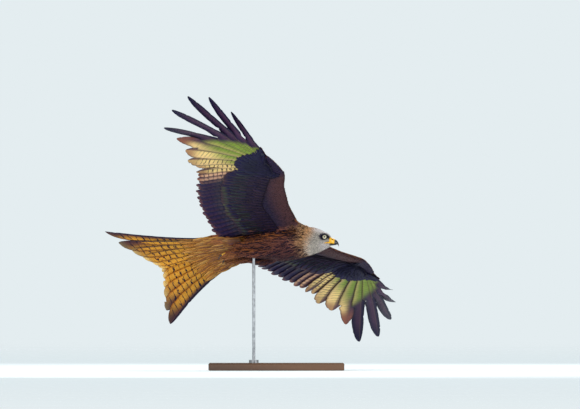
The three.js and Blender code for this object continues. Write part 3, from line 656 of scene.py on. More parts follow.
@dataclass
class Wing:
    """One wing's flight feathers and the ordered rows of its coverts."""

    plan: WingPlan
    side: float

    def lay(
        self, index: float, reach: tuple[float, float], widths: tuple[Array, Array] | None, shape: VaneShape,
        offset: Callable[[Array, Array, Array], Array], seed: int,
    ) -> tuple[Array, Array, Array, Array]:
        """Lays one vane on the wing along the line of a flight feather.

        Args:
            index: of the flight feather.
            reach: distance of its root and its tip from the flight feather's root.
            widths: inner and outer width, or None for those of the flight feather itself.
            shape: the kind of vane.
            offset: gives the height over the wing's surface from plan x, y and share.
            seed: for its splits.

        Returns:
            Upper and lower sheet, and across and share for each place.
        """
        plan = self.plan
        root, tip = plan.line(index)
        length = np.linalg.norm(tip - root)
        ahead_line = (tip - root) / length
        sideways = np.array([ahead_line[1], -ahead_line[0]])
        share = shape.shares()
        distance = reach[0] + (reach[1] - reach[0]) * share
        flight_share = distance / length
        finger = plan.free_part(index)
        bow = plan.bows[min(finger, 4)] * 4 * flight_share * (1 - flight_share) if finger >= 0 else 0 * share
        shaft = root + np.outer(distance, ahead_line) + np.outer(bow, sideways)
        inner, outer = plan.widths(index, shaft, flight_share) if widths is None else widths
        outline = shape.outline(share)
        edge = shape.edges(share, seed)
        off, across, grid_share = shape.grid(
            share, inner * outline * edge[:, 0], outer * shape.outline(share, 0.07) * edge[:, 1])
        x = shaft[:, :1] + off * sideways[0]
        y = shaft[:, 1:] + off * sideways[1]
        height = plan.height(x, y) + plan.louvre * (plan.index_at(x, y) - index) + offset(x, y, grid_share)
        height = height - shape.camber * np.abs(across) ** 2 * outline[:, None]
        if finger >= 0 and widths is None:
            free = step(plan.slots[finger] - 0.1, plan.slots[finger] + 0.12, flight_share)
            height = height + math.tan(math.radians(plan.twist)) * free[:, None] * off
        top, bottom = shape.sheets(x, y, height, across, 1 - 0.75 * share[:, None])
        mirror = np.array([1, self.side, 1])
        return top * mirror, bottom * mirror, across, grid_share

    def flight_feathers(self, numbers: Sequence[int], colours: "WingColours") -> Sheaf:
        """Makes the flight feathers of the given indices."""
        sheaf = Sheaf()
        plan = self.plan
        for index in numbers:
            length = float(np.linalg.norm(plan.tips[index] - plan.roots[index]))
            finger = plan.free_part(index)
            joined = plan.slots[finger] - 0.08 if finger >= 0 else 0.4
            lift = plan.lift_at_tip(index)
            draw = np.random.default_rng(500 + index)
            stray = draw.uniform(-1.0, 1.0)

            def offset(
                x: Array, y: Array, share: Array, lift: float = lift, joined: float = joined, stray: float = stray
            ) -> Array:
                """Raises the free end of the feather."""
                return lift * np.clip((share - joined) / (1 - joined), 0, 1) ** 1.5 + stray * share**2 * 0.4

            shape = FINGER_VANE if finger >= 0 else ARM_VANE if index < plan.arm_feathers else FLIGHT_VANE
            extra = 1 + draw.uniform(-0.012, 0.004) - 0.022 * (index % 2) * (index < plan.arm_feathers - 2)
            grid = self.lay(index, (-12, length * min(extra, 1.0)), None, shape, offset, 900 + index)
            sheaf.add(*grid, length, colours.flight(index))
        return sheaf

    def tertials(self, colours: "WingColours") -> Sheaf:
        """Makes the inner feathers that close the wing against the back."""
        sheaf = Sheaf(columns=6)
        length = float(np.linalg.norm(self.plan.tips[0] - self.plan.roots[0]))
        for number in range(6):
            index = -0.35 - 0.33 * number
            reach = (8.0, length * (0.97 - 0.1 * number))

            def offset(x: Array, y: Array, share: Array, number: int = number) -> Array:
                """Raises the feather over the ones outside it."""
                return 1.5 + 0.9 * number - 1.5 * share

            widths = (np.full(FLIGHT_VANE.stations, 15.0), np.full(FLIGHT_VANE.stations, 11.0))
            grid = self.lay(index, reach, widths, FLIGHT_VANE, offset, 700 + number)
            sheaf.add(*grid, reach[1] - reach[0], colours.flight(0))
        return sheaf

    def covert_rows(self, colours: "WingColours") -> Sheaf:
        """Makes the greater, median and longer lesser coverts over and under the wing."""
        sheaf = Sheaf(columns=67)
        for above, rows in ((1.0, 4), (-1.0, 5)):
            for row in range(rows):
                start = -0.6 + 0.4 * (row % 2)
                for index in np.arange(start, self.plan.count - 0.5, 0.8):
                    self.covert(sheaf, float(index), row, above, colours)
        return sheaf

    def covert_reach(self, index: float, row: int, above: float) -> tuple[float, float]:
        """Gives the distances of a covert's root and tip along its flight feather's line.

        Args:
            index: real index of the line.
            row: 0 for the greater coverts, more towards the leading edge.
            above: 1 over the wing, -1 under it.

        Returns:
            Start and tip, in millimetres.
        """
        root, tip = self.plan.line(index)
        length = float(np.linalg.norm(tip - root))
        hand = float(step(self.plan.arm_feathers - 2.5, self.plan.arm_feathers + 0.5, index))
        along_hand = max(index - self.plan.arm_feathers, 0) / 9
        arm_tip = (0.66 - 0.105 * row) * length if above < 0 else (0.6 - 0.12 * row) * length
        hand_tip = 118 - 56 * along_hand - (19 - 9 * along_hand) * row
        end = arm_tip + (hand_tip - arm_tip) * hand - 20 * math.exp(-(((index - 17.8) / 0.95) ** 2))
        if row < 2:
            end += 9 * math.exp(-(((index - 21.4) / 1.1) ** 2)) - 7 * math.exp(-(((index - 24) / 1.2) ** 2))
        return end - (58 - 5 * row), end

    def covert(self, sheaf: Sheaf, index: float, row: int, above: float, colours: "WingColours") -> None:
        """Adds one covert.

        Args:
            sheaf: that gathers the row.
            index: real index of the flight feather's line on which it lies.
            row: 0 for the greater coverts, more towards the leading edge.
            above: 1 over the wing, -1 under it.
            colours: of the wing.
        """
        plan = self.plan
        seed = int(2000 + 300 * row + 10 * index + 1500 * (above > 0))
        draw = np.random.default_rng(seed)
        start, tip = self.covert_reach(index, row, above)
        tip += draw.uniform(-5.0, 3.0)
        root, end = plan.line(index)
        middle = root + unit(end - root) * 0.8 * tip
        spacing = max(plan.distance_to(index - 0.8, middle[None])[0], 6)
        size = draw.uniform(0.85, 1.2, 2)
        widths = [np.full(COVERT_VANE.stations, spacing * share) for share in (0.95 * size[0], 0.7 * size[1])]
        stray = draw.uniform(-0.25, 0.35)

        def offset(x: Array, y: Array, share: Array) -> Array:
            """Lays the covert on the flesh, and further back on the row beneath."""
            floor = plan.tier * (1 - 0.35 * share) + 0.9 * row + stray * share
            return above * np.maximum(floor, plan.core_half(x, y) + 0.6 + 0.8 * share)

        grid = self.lay(index, (start, tip), tuple(widths), COVERT_VANE, offset, seed)
        sheaf.add(*grid, tip - start, colours.covert(index, row, above))

    def alula(self, colours: "WingColours") -> Sheaf:
        """Makes the four feathers of the thumb on the wrist's leading edge."""
        sheaf = Sheaf(columns=4)
        plan = self.plan
        for number in range(4):
            root = np.array([plan.wrist[0] + 10 - 4 * number, plan.wrist[1] + 6.0])
            length = 92 - 15 * number
            share = COVERT_VANE.shares()
            width = 9.5 * COVERT_VANE.outline(share)
            off, across, grid_share = COVERT_VANE.grid(share, width, width)
            x = root[0] - 3 * share[:, None] + off
            y = root[1] + length * share[:, None] + 0 * off
            height = plan.height(x, y) + 5.6 + 1.3 * number - 1.2 * across**2
            half = 0.3 * (1 - 0.6 * np.abs(across)) + 0.3 * (across == 0)
            mirror = np.array([1, self.side, 1])
            top = np.stack([x, y, height + half], -1) * mirror
            bottom = np.stack([x, y, height - half], -1) * mirror
            sheaf.add(top, bottom, across, grid_share, length, colours.covert(20 + number, 0, 1.0))
        return sheaf


# Colours of the plumage


@dataclass(frozen=True)
class Palette:
    """The bird's colours, as linear values."""

    black: Colour = srgb(17, 15, 48)
    finger: Colour = srgb(66, 40, 66)
    olive: Colour = srgb(124, 143, 56)
    cream: Colour = srgb(238, 204, 132)
    buff: Colour = srgb(230, 178, 140)
    rust: Colour = srgb(140, 84, 66)
    arm: Colour = srgb(26, 26, 66)
    arm_olive: Colour = srgb(84, 96, 58)
    brown: Colour = srgb(70, 42, 54)
    rufous: Colour = srgb(158, 86, 38)
    orange: Colour = srgb(182, 104, 18)
    amber: Colour = srgb(216, 150, 50)
    streak: Colour = srgb(28, 18, 40)
    grey: Colour = srgb(214, 204, 192)
    pale: Colour = srgb(242, 232, 230)
    yellow: Colour = srgb(250, 186, 8)
    horn: Colour = srgb(22, 18, 22)


PALETTE = Palette()


def flat(colour: Colour, like: Array) -> Array:
    """Repeats one colour for each of a list of places."""
    return np.broadcast_to(np.asarray(colour), (len(like), 3)).copy()


def traits(bars: Array | float, streak: Array | float, like: Array) -> Array:
    """Gives strengths of bars and of the shaft's streak, with room for the length."""
    values = np.zeros((len(like), 3))
    values[:, 0], values[:, 1] = bars, streak
    return values


@dataclass(frozen=True)
class WingColours:
    """Paints the feathers of a wing by their place in it."""

    arm_feathers: int = 18

    def flight(self, index: int) -> Painter:
        """Gives the painter of one flight feather."""
        return lambda grid, above: (self.flight_above if above[0] else self.flight_below)(index, grid)

    def flight_below(self, index: int, grid: Array) -> Paint:
        """Paints a flight feather's under side.

        Args:
            index: of the feather.
            grid: across and share for each place.

        Returns:
            Ground, marking and traits.
        """
        across, share = grid.T
        number = index - self.arm_feathers + 1
        if number >= 6:
            start = (0.5, 0.36, 0.31, 0.31, 0.3)[number - 6]
            window = layered(
                PALETTE.olive, (PALETTE.black, 0.8 * step(0.0, 0.35, across)),
                (PALETTE.cream, 0.35 * step(-0.2, -0.8, across) * (number == 6)))
            middle = step(0.75, 0.0, np.abs(across + 0.2)) * step(1, 0.75, share)
            dark = blend(PALETTE.black, PALETTE.finger, middle)
            edge = step(start - 0.05, start + 0.07, share + 0.06 * across)
            edge = np.maximum(edge, (number == 10) * step(-0.1, 0.3, across))
            return blend(window, dark, edge), flat(PALETTE.black, grid), traits(0.25 * (1 - edge), 0, grid)
        if number >= 1:
            turn = (0.5, 0.54, 0.6, 0.66, 0.7)[number - 1]
            dusk = (0.75, 0.6, 0.5, 0.75, 1.0)[number - 1]
            heavy = (1.0, 1.0, 0.85, 0.45, 0.2)[number - 1]
            ground = layered(
                PALETTE.olive, (PALETTE.cream, step(turn - 0.16, turn + 0.14, share - 0.05 * across)),
                (PALETTE.buff, step(-0.3, -1, across) * 0.4),
                (PALETTE.rust, dusk * step(0.8, 0.96, share - 0.05 * across)),
                (PALETTE.finger, 0.88 * (step(-0.12, 0.1, across) * step(0.1, 0.4, share))))
            if number == 5:
                ground = layered(
                    ground, (PALETTE.finger, 0.85 * step(-0.7, 0.0, across) * step(0.5, 0.7, share)),
                    (PALETTE.rust, 0.7 * step(0.76, 0.92, share)))
            near_shaft = 0.15 + 0.85 * step(-0.95, -0.5, across)
            bars = heavy * near_shaft * step(0.3, 0.46, share) * step(0.95, 0.8, share)
            return ground, flat(PALETTE.black, grid), traits(bars, 0, grid)
        pale = float(step(14.4, 17, index))
        shown = step(0.5, 0.8, share) * step(1, 0.3, np.abs(across + 0.4))
        lit = step(0.0, -0.7, across) * (0.35 + 0.5 * step(0.5, 0.75, share))
        ground = layered(
            PALETTE.arm, (PALETTE.brown, 0.55 * step(0.0, -0.9, across)),
            (PALETTE.arm_olive, 0.3 * shown * step(0.84, 0.6, share)),
            (blend(PALETTE.brown, PALETTE.buff, lit), pale),
            (PALETTE.rust, (0.35 + 0.35 * pale) * step(0.94, 0.985, share - 0.02 * across)))
        return ground, flat(PALETTE.black, grid), traits(0.5 + 0.3 * pale, 0, grid)

    def flight_above(self, index: int, grid: Array) -> Paint:
        """Paints a flight feather's upper side.

        Args:
            index: of the feather.
            grid: across and share for each place.

        Returns:
            Ground, marking and traits.
        """
        across, share = grid.T
        if index >= self.arm_feathers:
            ground = layered(
                PALETTE.brown, (PALETTE.black, step(0.3, 0.6, share)),
                (PALETTE.buff, 0.35 * step(-0.2, -0.9, across) * step(0.6, 0.4, share)))
            return ground, flat(PALETTE.black, grid), traits(0.35, 0, grid)
        ground = layered(PALETTE.arm, (PALETTE.brown, 0.8), (PALETTE.rufous, 0.5 * step(0.85, 0.98, share)))
        return ground, flat(PALETTE.black, grid), traits(0.45, 0, grid)

    def covert(self, index: float, row: int, above: float) -> Painter:
        """Gives the painter of one covert."""
        hand = step(self.arm_feathers - 2.5, self.arm_feathers, index)
        draw_share = 0.45 + 0.55 * ((index * 7.31 + row * 0.37) % 1)

        def paint(grid: Array, over: Array) -> Paint:
            """Paints both sides of the covert alike."""
            across, share = grid.T
            edge = np.maximum(step(0.45, 1.0, np.abs(across)), step(0.74, 0.98, share))
            if above > 0:
                middle = (PALETTE.brown, PALETTE.rust, PALETTE.rust, PALETTE.rufous)[row]
                rim = (PALETTE.rust, PALETTE.buff, PALETTE.amber, PALETTE.rufous)[row]
                ground = blend(middle, blend(rim, PALETTE.brown, 0.8 * hand), 0.75 * edge)
                return ground, flat(PALETTE.streak, grid), traits(0.15, 0.7, grid)
            warm = (0, 0, 0, 0.15, 0.35)[row] * (1 - hand)
            middle = layered(PALETTE.arm, (PALETTE.brown, warm), (PALETTE.black, 0.45))
            dusky = srgb(92, 64, 58)
            rim = (dusky, PALETTE.arm_olive, dusky, PALETTE.brown, srgb(98, 60, 60))[row]
            rim = blend(rim, PALETTE.arm, 0.8 * hand)
            ground = blend(middle, rim, (0.6, 0.6, 0.6, 0.5, 0.4)[row] * edge * draw_share)
            if row < 4:
                chosen = (0.5, 0.5, 0.4, 0.3)[row] * float(step(0.3, 0.9, (index * 3.77 + row * 0.61) % 1))
                centre = 0.72 + 0.2 * ((index * 5.13 + row * 0.29) % 1)
                spot = np.exp(-(((share - centre) / 0.1) ** 2)) * step(-1.1, 0.1, -np.abs(across))
                near_hand = float(step(11, 16.5, index))
                ground = blend(ground, PALETTE.olive, np.minimum(chosen * (0.7 + 0.7 * near_hand), 0.75) * spot)
            return ground, flat(PALETTE.black, grid), traits(0.1, 0.45, grid)

        return paint


def tail_painter(pair: int) -> Painter:
    """Gives the painter of one tail feather, with 0 for the middle pair."""

    def paint(grid: Array, above: Array) -> Paint:
        """Paints rufous with thin bars, a pale fringe and dark outer corners, a painted highlight on the inner web
        and painted shade on the outer web.
        """
        across, share = grid.T
        base = PALETTE.rufous if above[0] else PALETTE.orange
        light = PALETTE.orange if above[0] else PALETTE.amber
        olive = (0, 0.1, 0.2, 0.4, 0.5, 0.4)[pair] * step(0.95, 0.6, share) * (1 - 0.7 * above)
        dark = 0.9 * step(0.72, 0.93, share + 0.1 * across) * (0, 0, 0, 0.4, 0.9, 1.0)[pair]
        if pair == 5:
            dark = np.maximum(dark, 0.95 * step(-0.35, 0.1, across))
        elif pair == 4:
            dark = np.maximum(dark, 0.6 * step(0.3, 0.9, across) * step(0.3, 0.7, share))
        ground = layered(
            base, (PALETTE.rufous, 0.6 * step(-0.1, 0.5, across) + 0.4 * step(0.5, 0.2, share)),
            # Painted highlight: a lighter band on the inner web of each feather.
            (light, step(-0.05, -0.4, across) * step(-1.0, -0.75, across) * step(0.25, 0.6, share)),
            (srgb(112, 98, 44), olive * (0.55 + 0.45 * step(-0.7, -0.1, across))),
            (PALETTE.cream, 0.75 * step(0.93, 0.99, share) * (pair < 5)),
            # Painted shade: the outer web of the outer pairs is darkened with olive, as shadow between
            # neighbouring feathers.
            (PALETTE.arm_olive, 0.45 * step(0.2, 0.8, across) * (pair > 1)), (PALETTE.black, dark))
        bars = (0.35 + 0.65 * step(-1.0, -0.6, across)) * step(0.2, 0.4, share) * step(0.99, 0.9, share)
        return ground, flat(PALETTE.streak, grid), traits(bars, 0.15, grid)

    return paint


def tail_covert_painter(row: int, shade: float) -> Painter:
    """Gives the painter of a covert of the tail: row 0 is nearest to the tips, shade runs from dark to pale."""

    def paint(grid: Array, above: Array) -> Paint:
        """Paints golden rufous, redder towards the body and above."""
        across, share = grid.T
        ground = layered(
            srgb(176, 112, 36), (srgb(124, 80, 42), min(0.2 * row, 1)),
            (srgb(204, 156, 84), 0.6 * float(step(0.55, 0.95, shade))),
            (srgb(112, 66, 30), 0.6 * float(step(0.4, 0.0, shade))),
            (srgb(208, 158, 92), 0.45 * step(0.4, 1.0, np.abs(across)) * step(0.3, 0.8, share)))
        return ground, flat(PALETTE.brown, grid), traits(0, 0.4 + 0.1 * row, grid)

    return paint


# Tail


@dataclass
class Tail:
    """The forked tail's feathers, in a frame of its own behind the body."""

    root: tuple[float, float, float] = (-132, 0, -15)
    yaw: float = 7
    droop: float = 5.3
    roll: float = 19
    lengths: tuple[float, ...] = (278, 286, 303, 326, 357, 392)
    spreads: tuple[float, ...] = (2, 6.5, 11.5, 17.3, 22.5, 28.6)
    arch: float = 10
    bow: tuple[float, ...] = (0, 2, 5, 10, 16, 24)
    louvre: float = 1.7
    base: Table = ((48, 44, 17, -2), (75, 58, 12, -2), (100, 64, 8, -3), (122, 58, 5, -3.5), (134, 42, 2.5, -4))

    def to_bird(self, points: Array) -> Array:
        """Takes points of the tail's frame to the bird's."""
        turn = turns((-self.yaw, "Z"), (-self.droop, "Y"), (-self.roll, "X"))
        return points @ turn.T + np.array(self.root)

    def shaft(self, pair: int, side: float, share: Array) -> Array:
        """Gives plan points of a feather's shaft."""
        spread = math.radians(self.spreads[pair])
        tip = np.array([-self.lengths[pair] * math.cos(spread), self.lengths[pair] * math.sin(spread)])
        start = 2.5 + 4.5 * pair
        sag = self.bow[pair] * 4 * share * (1 - share)
        out = start + (tip[1] - start) * share - sag + 0.6 * self.curl(pair, side, share)
        return np.column_stack([tip[0] * share, side * out])

    def curl(self, pair: float, side: float, share: Array) -> Array:
        """Gives how far the right half's outer feathers curl out and up, at a share of their length."""
        return (side < 0) * (pair / 5) ** 2 * (4.5 + 5 * (share - 0.58) ** 2 / 0.18)

    def height(self, back: Array) -> Array:
        """Gives the arch's height at a distance behind the root."""
        share = np.clip(back / 330, 0, 1)
        return 4 * self.arch * share * (1 - share)

    def feathers(self) -> Sheaf:
        """Makes the twelve feathers."""
        sheaf = Sheaf(columns=12)
        shape = replace(FLIGHT_VANE, nicks=2, tip_from=0.86, tip_curve=(2.0, 0.6))
        outline = shape.outline(shape.shares())
        share = 0.03 + 0.97 * shape.shares()
        for pair in range(len(self.lengths)):
            for side, _ in SIDES:
                shaft = self.shaft(pair, side, share)
                if pair:
                    full = self.shaft(pair - 1, side, np.linspace(0, 1, 60))
                    gap = np.abs(shaft[:, 1] - np.interp(-shaft[:, 0], -full[:, 0], full[:, 1]))
                else:
                    gap = np.full(len(share), 13.0)
                edge = shape.edges(share, 70 + 2 * pair + int(side > 0))
                narrow = 0.45 if side < 0 else 0.12
                inner = np.minimum(gap + 5, 42) * outline * edge[:, 0]
                inner = inner * (1 - narrow * (pair == 5) * step(0.72, 0.86, share))
                outer = (15 if pair < 5 else 8) * np.minimum(1, 0.3 + share) * outline * edge[:, 1]
                off, across, grid_share = shape.grid(share, inner, outer)
                x, y = shaft[:, :1] + 0 * off, shaft[:, 1:] + side * off
                level = self.louvre * (pair + (0.5 if side < 0 else 0))
                tilt = self.louvre * (0.35 - 0.35 * across)
                height = self.height(-x) - level + tilt - shape.camber * across**2 * outline[:, None] * 0.7
                height = height + 0.75 * self.curl(pair, side, grid_share)
                sheets = map(self.to_bird, shape.sheets(x, y, height, across, 1 - 0.7 * grid_share))
                sheaf.add(*sheets, across, grid_share, self.lengths[pair], tail_painter(pair))
        return sheaf

    def half_width(self, back: Array) -> Array:
        """Gives half the width of the tail and its coverts at a distance behind the root."""
        wide = [[20, 30], [48, 42], [75, 55], [100, 62], [134, 70], [200, 100], [300, 150]]
        return along(wide, back)

    def cover_height(self, back: Array, across: Array, above: float) -> Array:
        """Gives the height of the surface on which the tail's coverts lie."""
        backs, _, highs, unders = np.array(self.base).T
        full = np.interp(back, backs, highs) * np.sqrt(np.clip(1 - across**2, 0, 1))
        flesh = np.interp(back, backs, unders) + self.height(back) + above * full
        sheet = self.height(back) - 5 * self.louvre * np.abs(across) + above * 1.6
        return np.maximum(flesh, sheet) if above > 0 else np.minimum(flesh, sheet)

    def coverts(self) -> Sheaf:
        """Makes the long coverts over and under the tail's base."""
        sheaf = Sheaf(columns=50)
        shape = replace(COVERT_VANE, tip_from=0.4, tip_curve=(1.5, 0.8))
        share = shape.shares()
        for above in (-1.0, 1.0):
            for row in range(6):
                count = 21 + (row % 2)
                for number in range(count):
                    draw = np.random.default_rng(int(7000 + 100 * row + number + 50 * above))
                    place = (2 * (number + 0.5) / count - 1) * (0.93 if above < 0 else 0.86)
                    place = place + draw.uniform(-0.03, 0.03)
                    start = 122 - 21 * row + draw.uniform(-5, 5)
                    length = (76 - 3 * row) * (1 - (0.48 + 0.13 * above) * place**2) * draw.uniform(0.84, 1.14)
                    back = start + length * share
                    y = place * (self.half_width(back) + 5 * (place < 0) * (above < 0))
                    wide = (6.2 - 0.3 * row) * draw.uniform(0.8, 1.15) * shape.outline(share)
                    off, across, grid_share = shape.grid(share, wide, wide)
                    x, side = -back[:, None] + off * np.gradient(y, back)[:, None], y[:, None] + off
                    place_share = np.clip(side / self.half_width(-x), -1, 1)
                    stand = 0.8 + 0.7 * row + 1.2 * share[:, None] * draw.uniform(0.7, 1.3) - 0.7 * across**2
                    height = self.cover_height(-x, place_share, above) + above * stand
                    height = height + 6 * (place_share < 0) * place_share**2
                    sheets = map(self.to_bird, shape.sheets(x, side, height, across, 1, keel=0))
                    sheaf.add(*sheets, across, grid_share, length, tail_covert_painter(row, draw.uniform()))
        return sheaf

    def base_rings(self, inset: float, sides: int) -> list[Array]:
        """Gives the rings of the flesh and coverts round the feathers' roots."""
        rings = []
        for back, wide, high, under in self.base:
            middle = under + float(self.height(np.array(back)))
            rings.append(self.to_bird(oval(-back, middle, wide - inset, max(high - inset, 1), sides)))
        return rings


# Body


@dataclass
class BodyForm:
    """The rings of trunk, neck and head, and the face's frame."""

    rings: Table = (
        (-176, -25, 27, 15, 0), (-140, -27, 33, 24, 0), (-105, -30, 41, 35, 0), (-60, -32, 48, 45, 0),
        (-20, -31, 49, 47, 0), (15, -31, 43, 43, 0), (38, -30, 36, 39, 2), (54, -32.5, 29.5, 34, 6),
        (66, -35, 24, 27, 10),
    )
    face: Table = (
        (0, -2.6, 21, 23), (6, -3, 18, 19.5), (10.5, -4, 13.5, 15.5), (13.5, -4.8, 9.5, 11), (15.5, -5, 6, 7),
    )
    head_at: tuple[float, float, float] = (74.8, 1, -32.8)
    head_pitch: float = 11.4
    head_roll: float = 10

    def head_turn(self) -> Array:
        """Gives the matrix of the head's turns."""
        return turns((self.head_pitch, "Y"), (self.head_roll, "X"))

    def from_head(self, points: Array) -> Array:
        """Takes points of the head's frame to the bird's."""
        return np.asarray(points, float) @ self.head_turn().T + np.array(self.head_at)

    def to_head(self, points: Array) -> Array:
        """Takes points of the bird's frame to the head's."""
        return (points - np.array(self.head_at)) @ self.head_turn()

    def coat_depth(self, x: float) -> float:
        """Gives how far the skin lies inside the coat at a place along the body."""
        return float(along([[-176, 5], [-100, 7.5], [0, 7.5], [30, 5.5], [60, 3]], x))

    def skin_rings(self, sides: int) -> list[Array]:
        """Gives rings of the skin from the rump to the bill."""
        rings = []
        for x, z, wide, high, pitch in self.rings:
            inset = self.coat_depth(x)
            ring = oval(x, z, wide - inset, high - inset, sides)
            rise = ring[:, 2] - z
            ring[:, 0] += rise * math.sin(math.radians(pitch))
            ring[:, 2] = z + rise * math.cos(math.radians(pitch))
            rings.append(ring)
        for x, z, wide, high in self.face:
            inset = 1.8 if x < 12 else 0.9
            rings.append(self.from_head(oval(x - 0.6, z, wide - inset, high - inset, sides)))
        return rings

    def face_point(self, x: float, side: float, z: float, out: float) -> Array:
        """Gives a point on the side of the face, or a little out of it, in the head's frame."""
        table = np.array(self.face)
        middle, wide, high = (along(table[:, [0, k]], x) for k in (1, 2, 3))
        level = np.clip((z - middle) / high, -1, 1)
        return np.array([x, side * (wide * np.sqrt(1 - level**2) + out), z])


# Skin and its zones


class Region(Enum):
    """The parts of the skin that carry a coat piece each."""

    BARE = -1
    BREAST = 0
    HEAD = 1
    WING_LEFT = 2
    WING_RIGHT = 3
    BELLY = 4


@dataclass
class Skin:
    """One closed skin under the plumage, with all that its coat reads from it."""

    body: BodyForm
    plan: WingPlan
    tail: Tail
    voxel: float = 2.4
    sides: int = 48

    def bodies(self) -> list[Body]:
        """Gives the closed bodies that the skin is fused from, in the bird's frame."""
        seat = [oval(x, -26, 24, 13, self.sides) for x in (-140, -165)]
        back = [[-70, 0, -6], [-105, 0, -6], [-140, 0, -7], [-172, 0, -18]]
        found = [
            loft(self.body.skin_rings(self.sides)), loft([*seat, *self.tail.base_rings(2.5, self.sides)]),
            limb(back, [[0, 13], [0.4, 13.5], [0.7, 12.5], [1, 9]], 24, 16),
        ]
        shoulder = [[34, 14, -14], [21, 28, -9], [12.5, 45, -5], [10, 72, 0]]
        thigh = [[-58, 22, -50], [-84, 24, -54], [-112, 25, -55.5], [-138, 23, -51], [-158, 20, -45.5]]
        muff = [[-146, 21, -47], [-175, 19.5, -46.5], [-200, 16, -47], [-218, 14, -48]]
        for side, _ in SIDES:
            found.append(self.wing_core(side))
            for line, radii, steps in (
                (shoulder, [[0, 12], [0.4, 12], [0.75, 9], [1, 4]], 16),
                (thigh, [[0, 6], [0.25, 8.5], [0.5, 11], [0.75, 9], [1, 7]], 18),
                (muff, [[0, 8], [0.4, 8.8], [0.75, 9.8], [1, 6]], 14),
            ):
                found.append(limb(np.array(line) * [1, side, 1], radii, 20, steps))
        return found

    def wing_core(self, side: float) -> Body:
        """Makes the flesh of one wing as rings from the shoulder to the end of the hand."""
        rings = []
        half_round = np.linspace(0.02, 1, 22) ** 1.4
        share = np.concatenate([half_round, half_round[::-1]])
        sign = np.repeat([1, -1], len(half_round))
        for y in np.linspace(12, 410, 40):
            depth = float(self.plan.core_depth(y))
            x = float(self.plan.leading_edge(y)) - 1 - share * (depth - 4)
            level = np.full(len(x), y)
            half = np.maximum(self.plan.core_half(x, level) - 1.6, 0.7)
            fuller = 2.5 * step(90, 200, y) + 4.5 * step(120, 200, y) * step(328, 294, y)
            fuller += 3.5 * (side > 0) * step(280, 320, y) * step(405, 370, y)
            x = x + float(fuller) * (1 - share) ** 2
            rings.append(np.column_stack([x, side * level, self.plan.height(x, level) + sign * half]))
        return loft(rings)

    def make(self, finish: Material) -> Object:
        """Fuses the skin and stores on it what the coat reads.

        Args:
            finish: the skin's material.

        Returns:
            The skin, not yet tied to the frame.
        """
        points, faces = gathered(self.bodies())
        rough = new_object("rough_skin", mesh_of("rough_skin", points * MM, faces))
        remesh = rough.modifiers.new("fuse", "REMESH")
        remesh.mode = "VOXEL"
        remesh.voxel_size = self.voxel * MM
        relax = rough.modifiers.new("relax", "SMOOTH")
        relax.iterations = 4
        mesh = evaluated_mesh(rough)
        bpy.data.objects.remove(rough)
        co = get_points(mesh) / MM
        normals = read(mesh.vertices, "normal").astype(float)
        mesh.vertices.foreach_set("co", FLIGHT.to_row(co).astype(np.float32).ravel())
        self.store(mesh, co, normals)
        mesh.shade_smooth()
        mesh.materials.append(finish)
        return new_object("skin", mesh)

    def store(self, mesh: Mesh, co: Array, normals: Array) -> None:
        """Stores the coat's lie, sizes and colours on the skin's points, and the region on its faces."""
        zones = Zones(self.body, self.plan, self.tail, co, normals)
        lie = zones.lie() @ FLIGHT.turn().T
        set_vectors(mesh, "lie", lie)
        set_vectors(mesh, "size", zones.sizes() * MM)
        ground, marking, trait = zones.colours()
        set_colours(mesh, "ground", ground)
        set_colours(mesh, "marking", marking)
        set_vectors(mesh, "traits", trait)
        corners = read(mesh.loops, "vertex_index", 1, np.int32)
        starts = read(mesh.polygons, "loop_start", 1, np.int32)
        layer = mesh.attributes.new("region", "FLOAT", "FACE")
        layer.data.foreach_set("value", zones.regions()[corners[starts]].astype(np.float32))


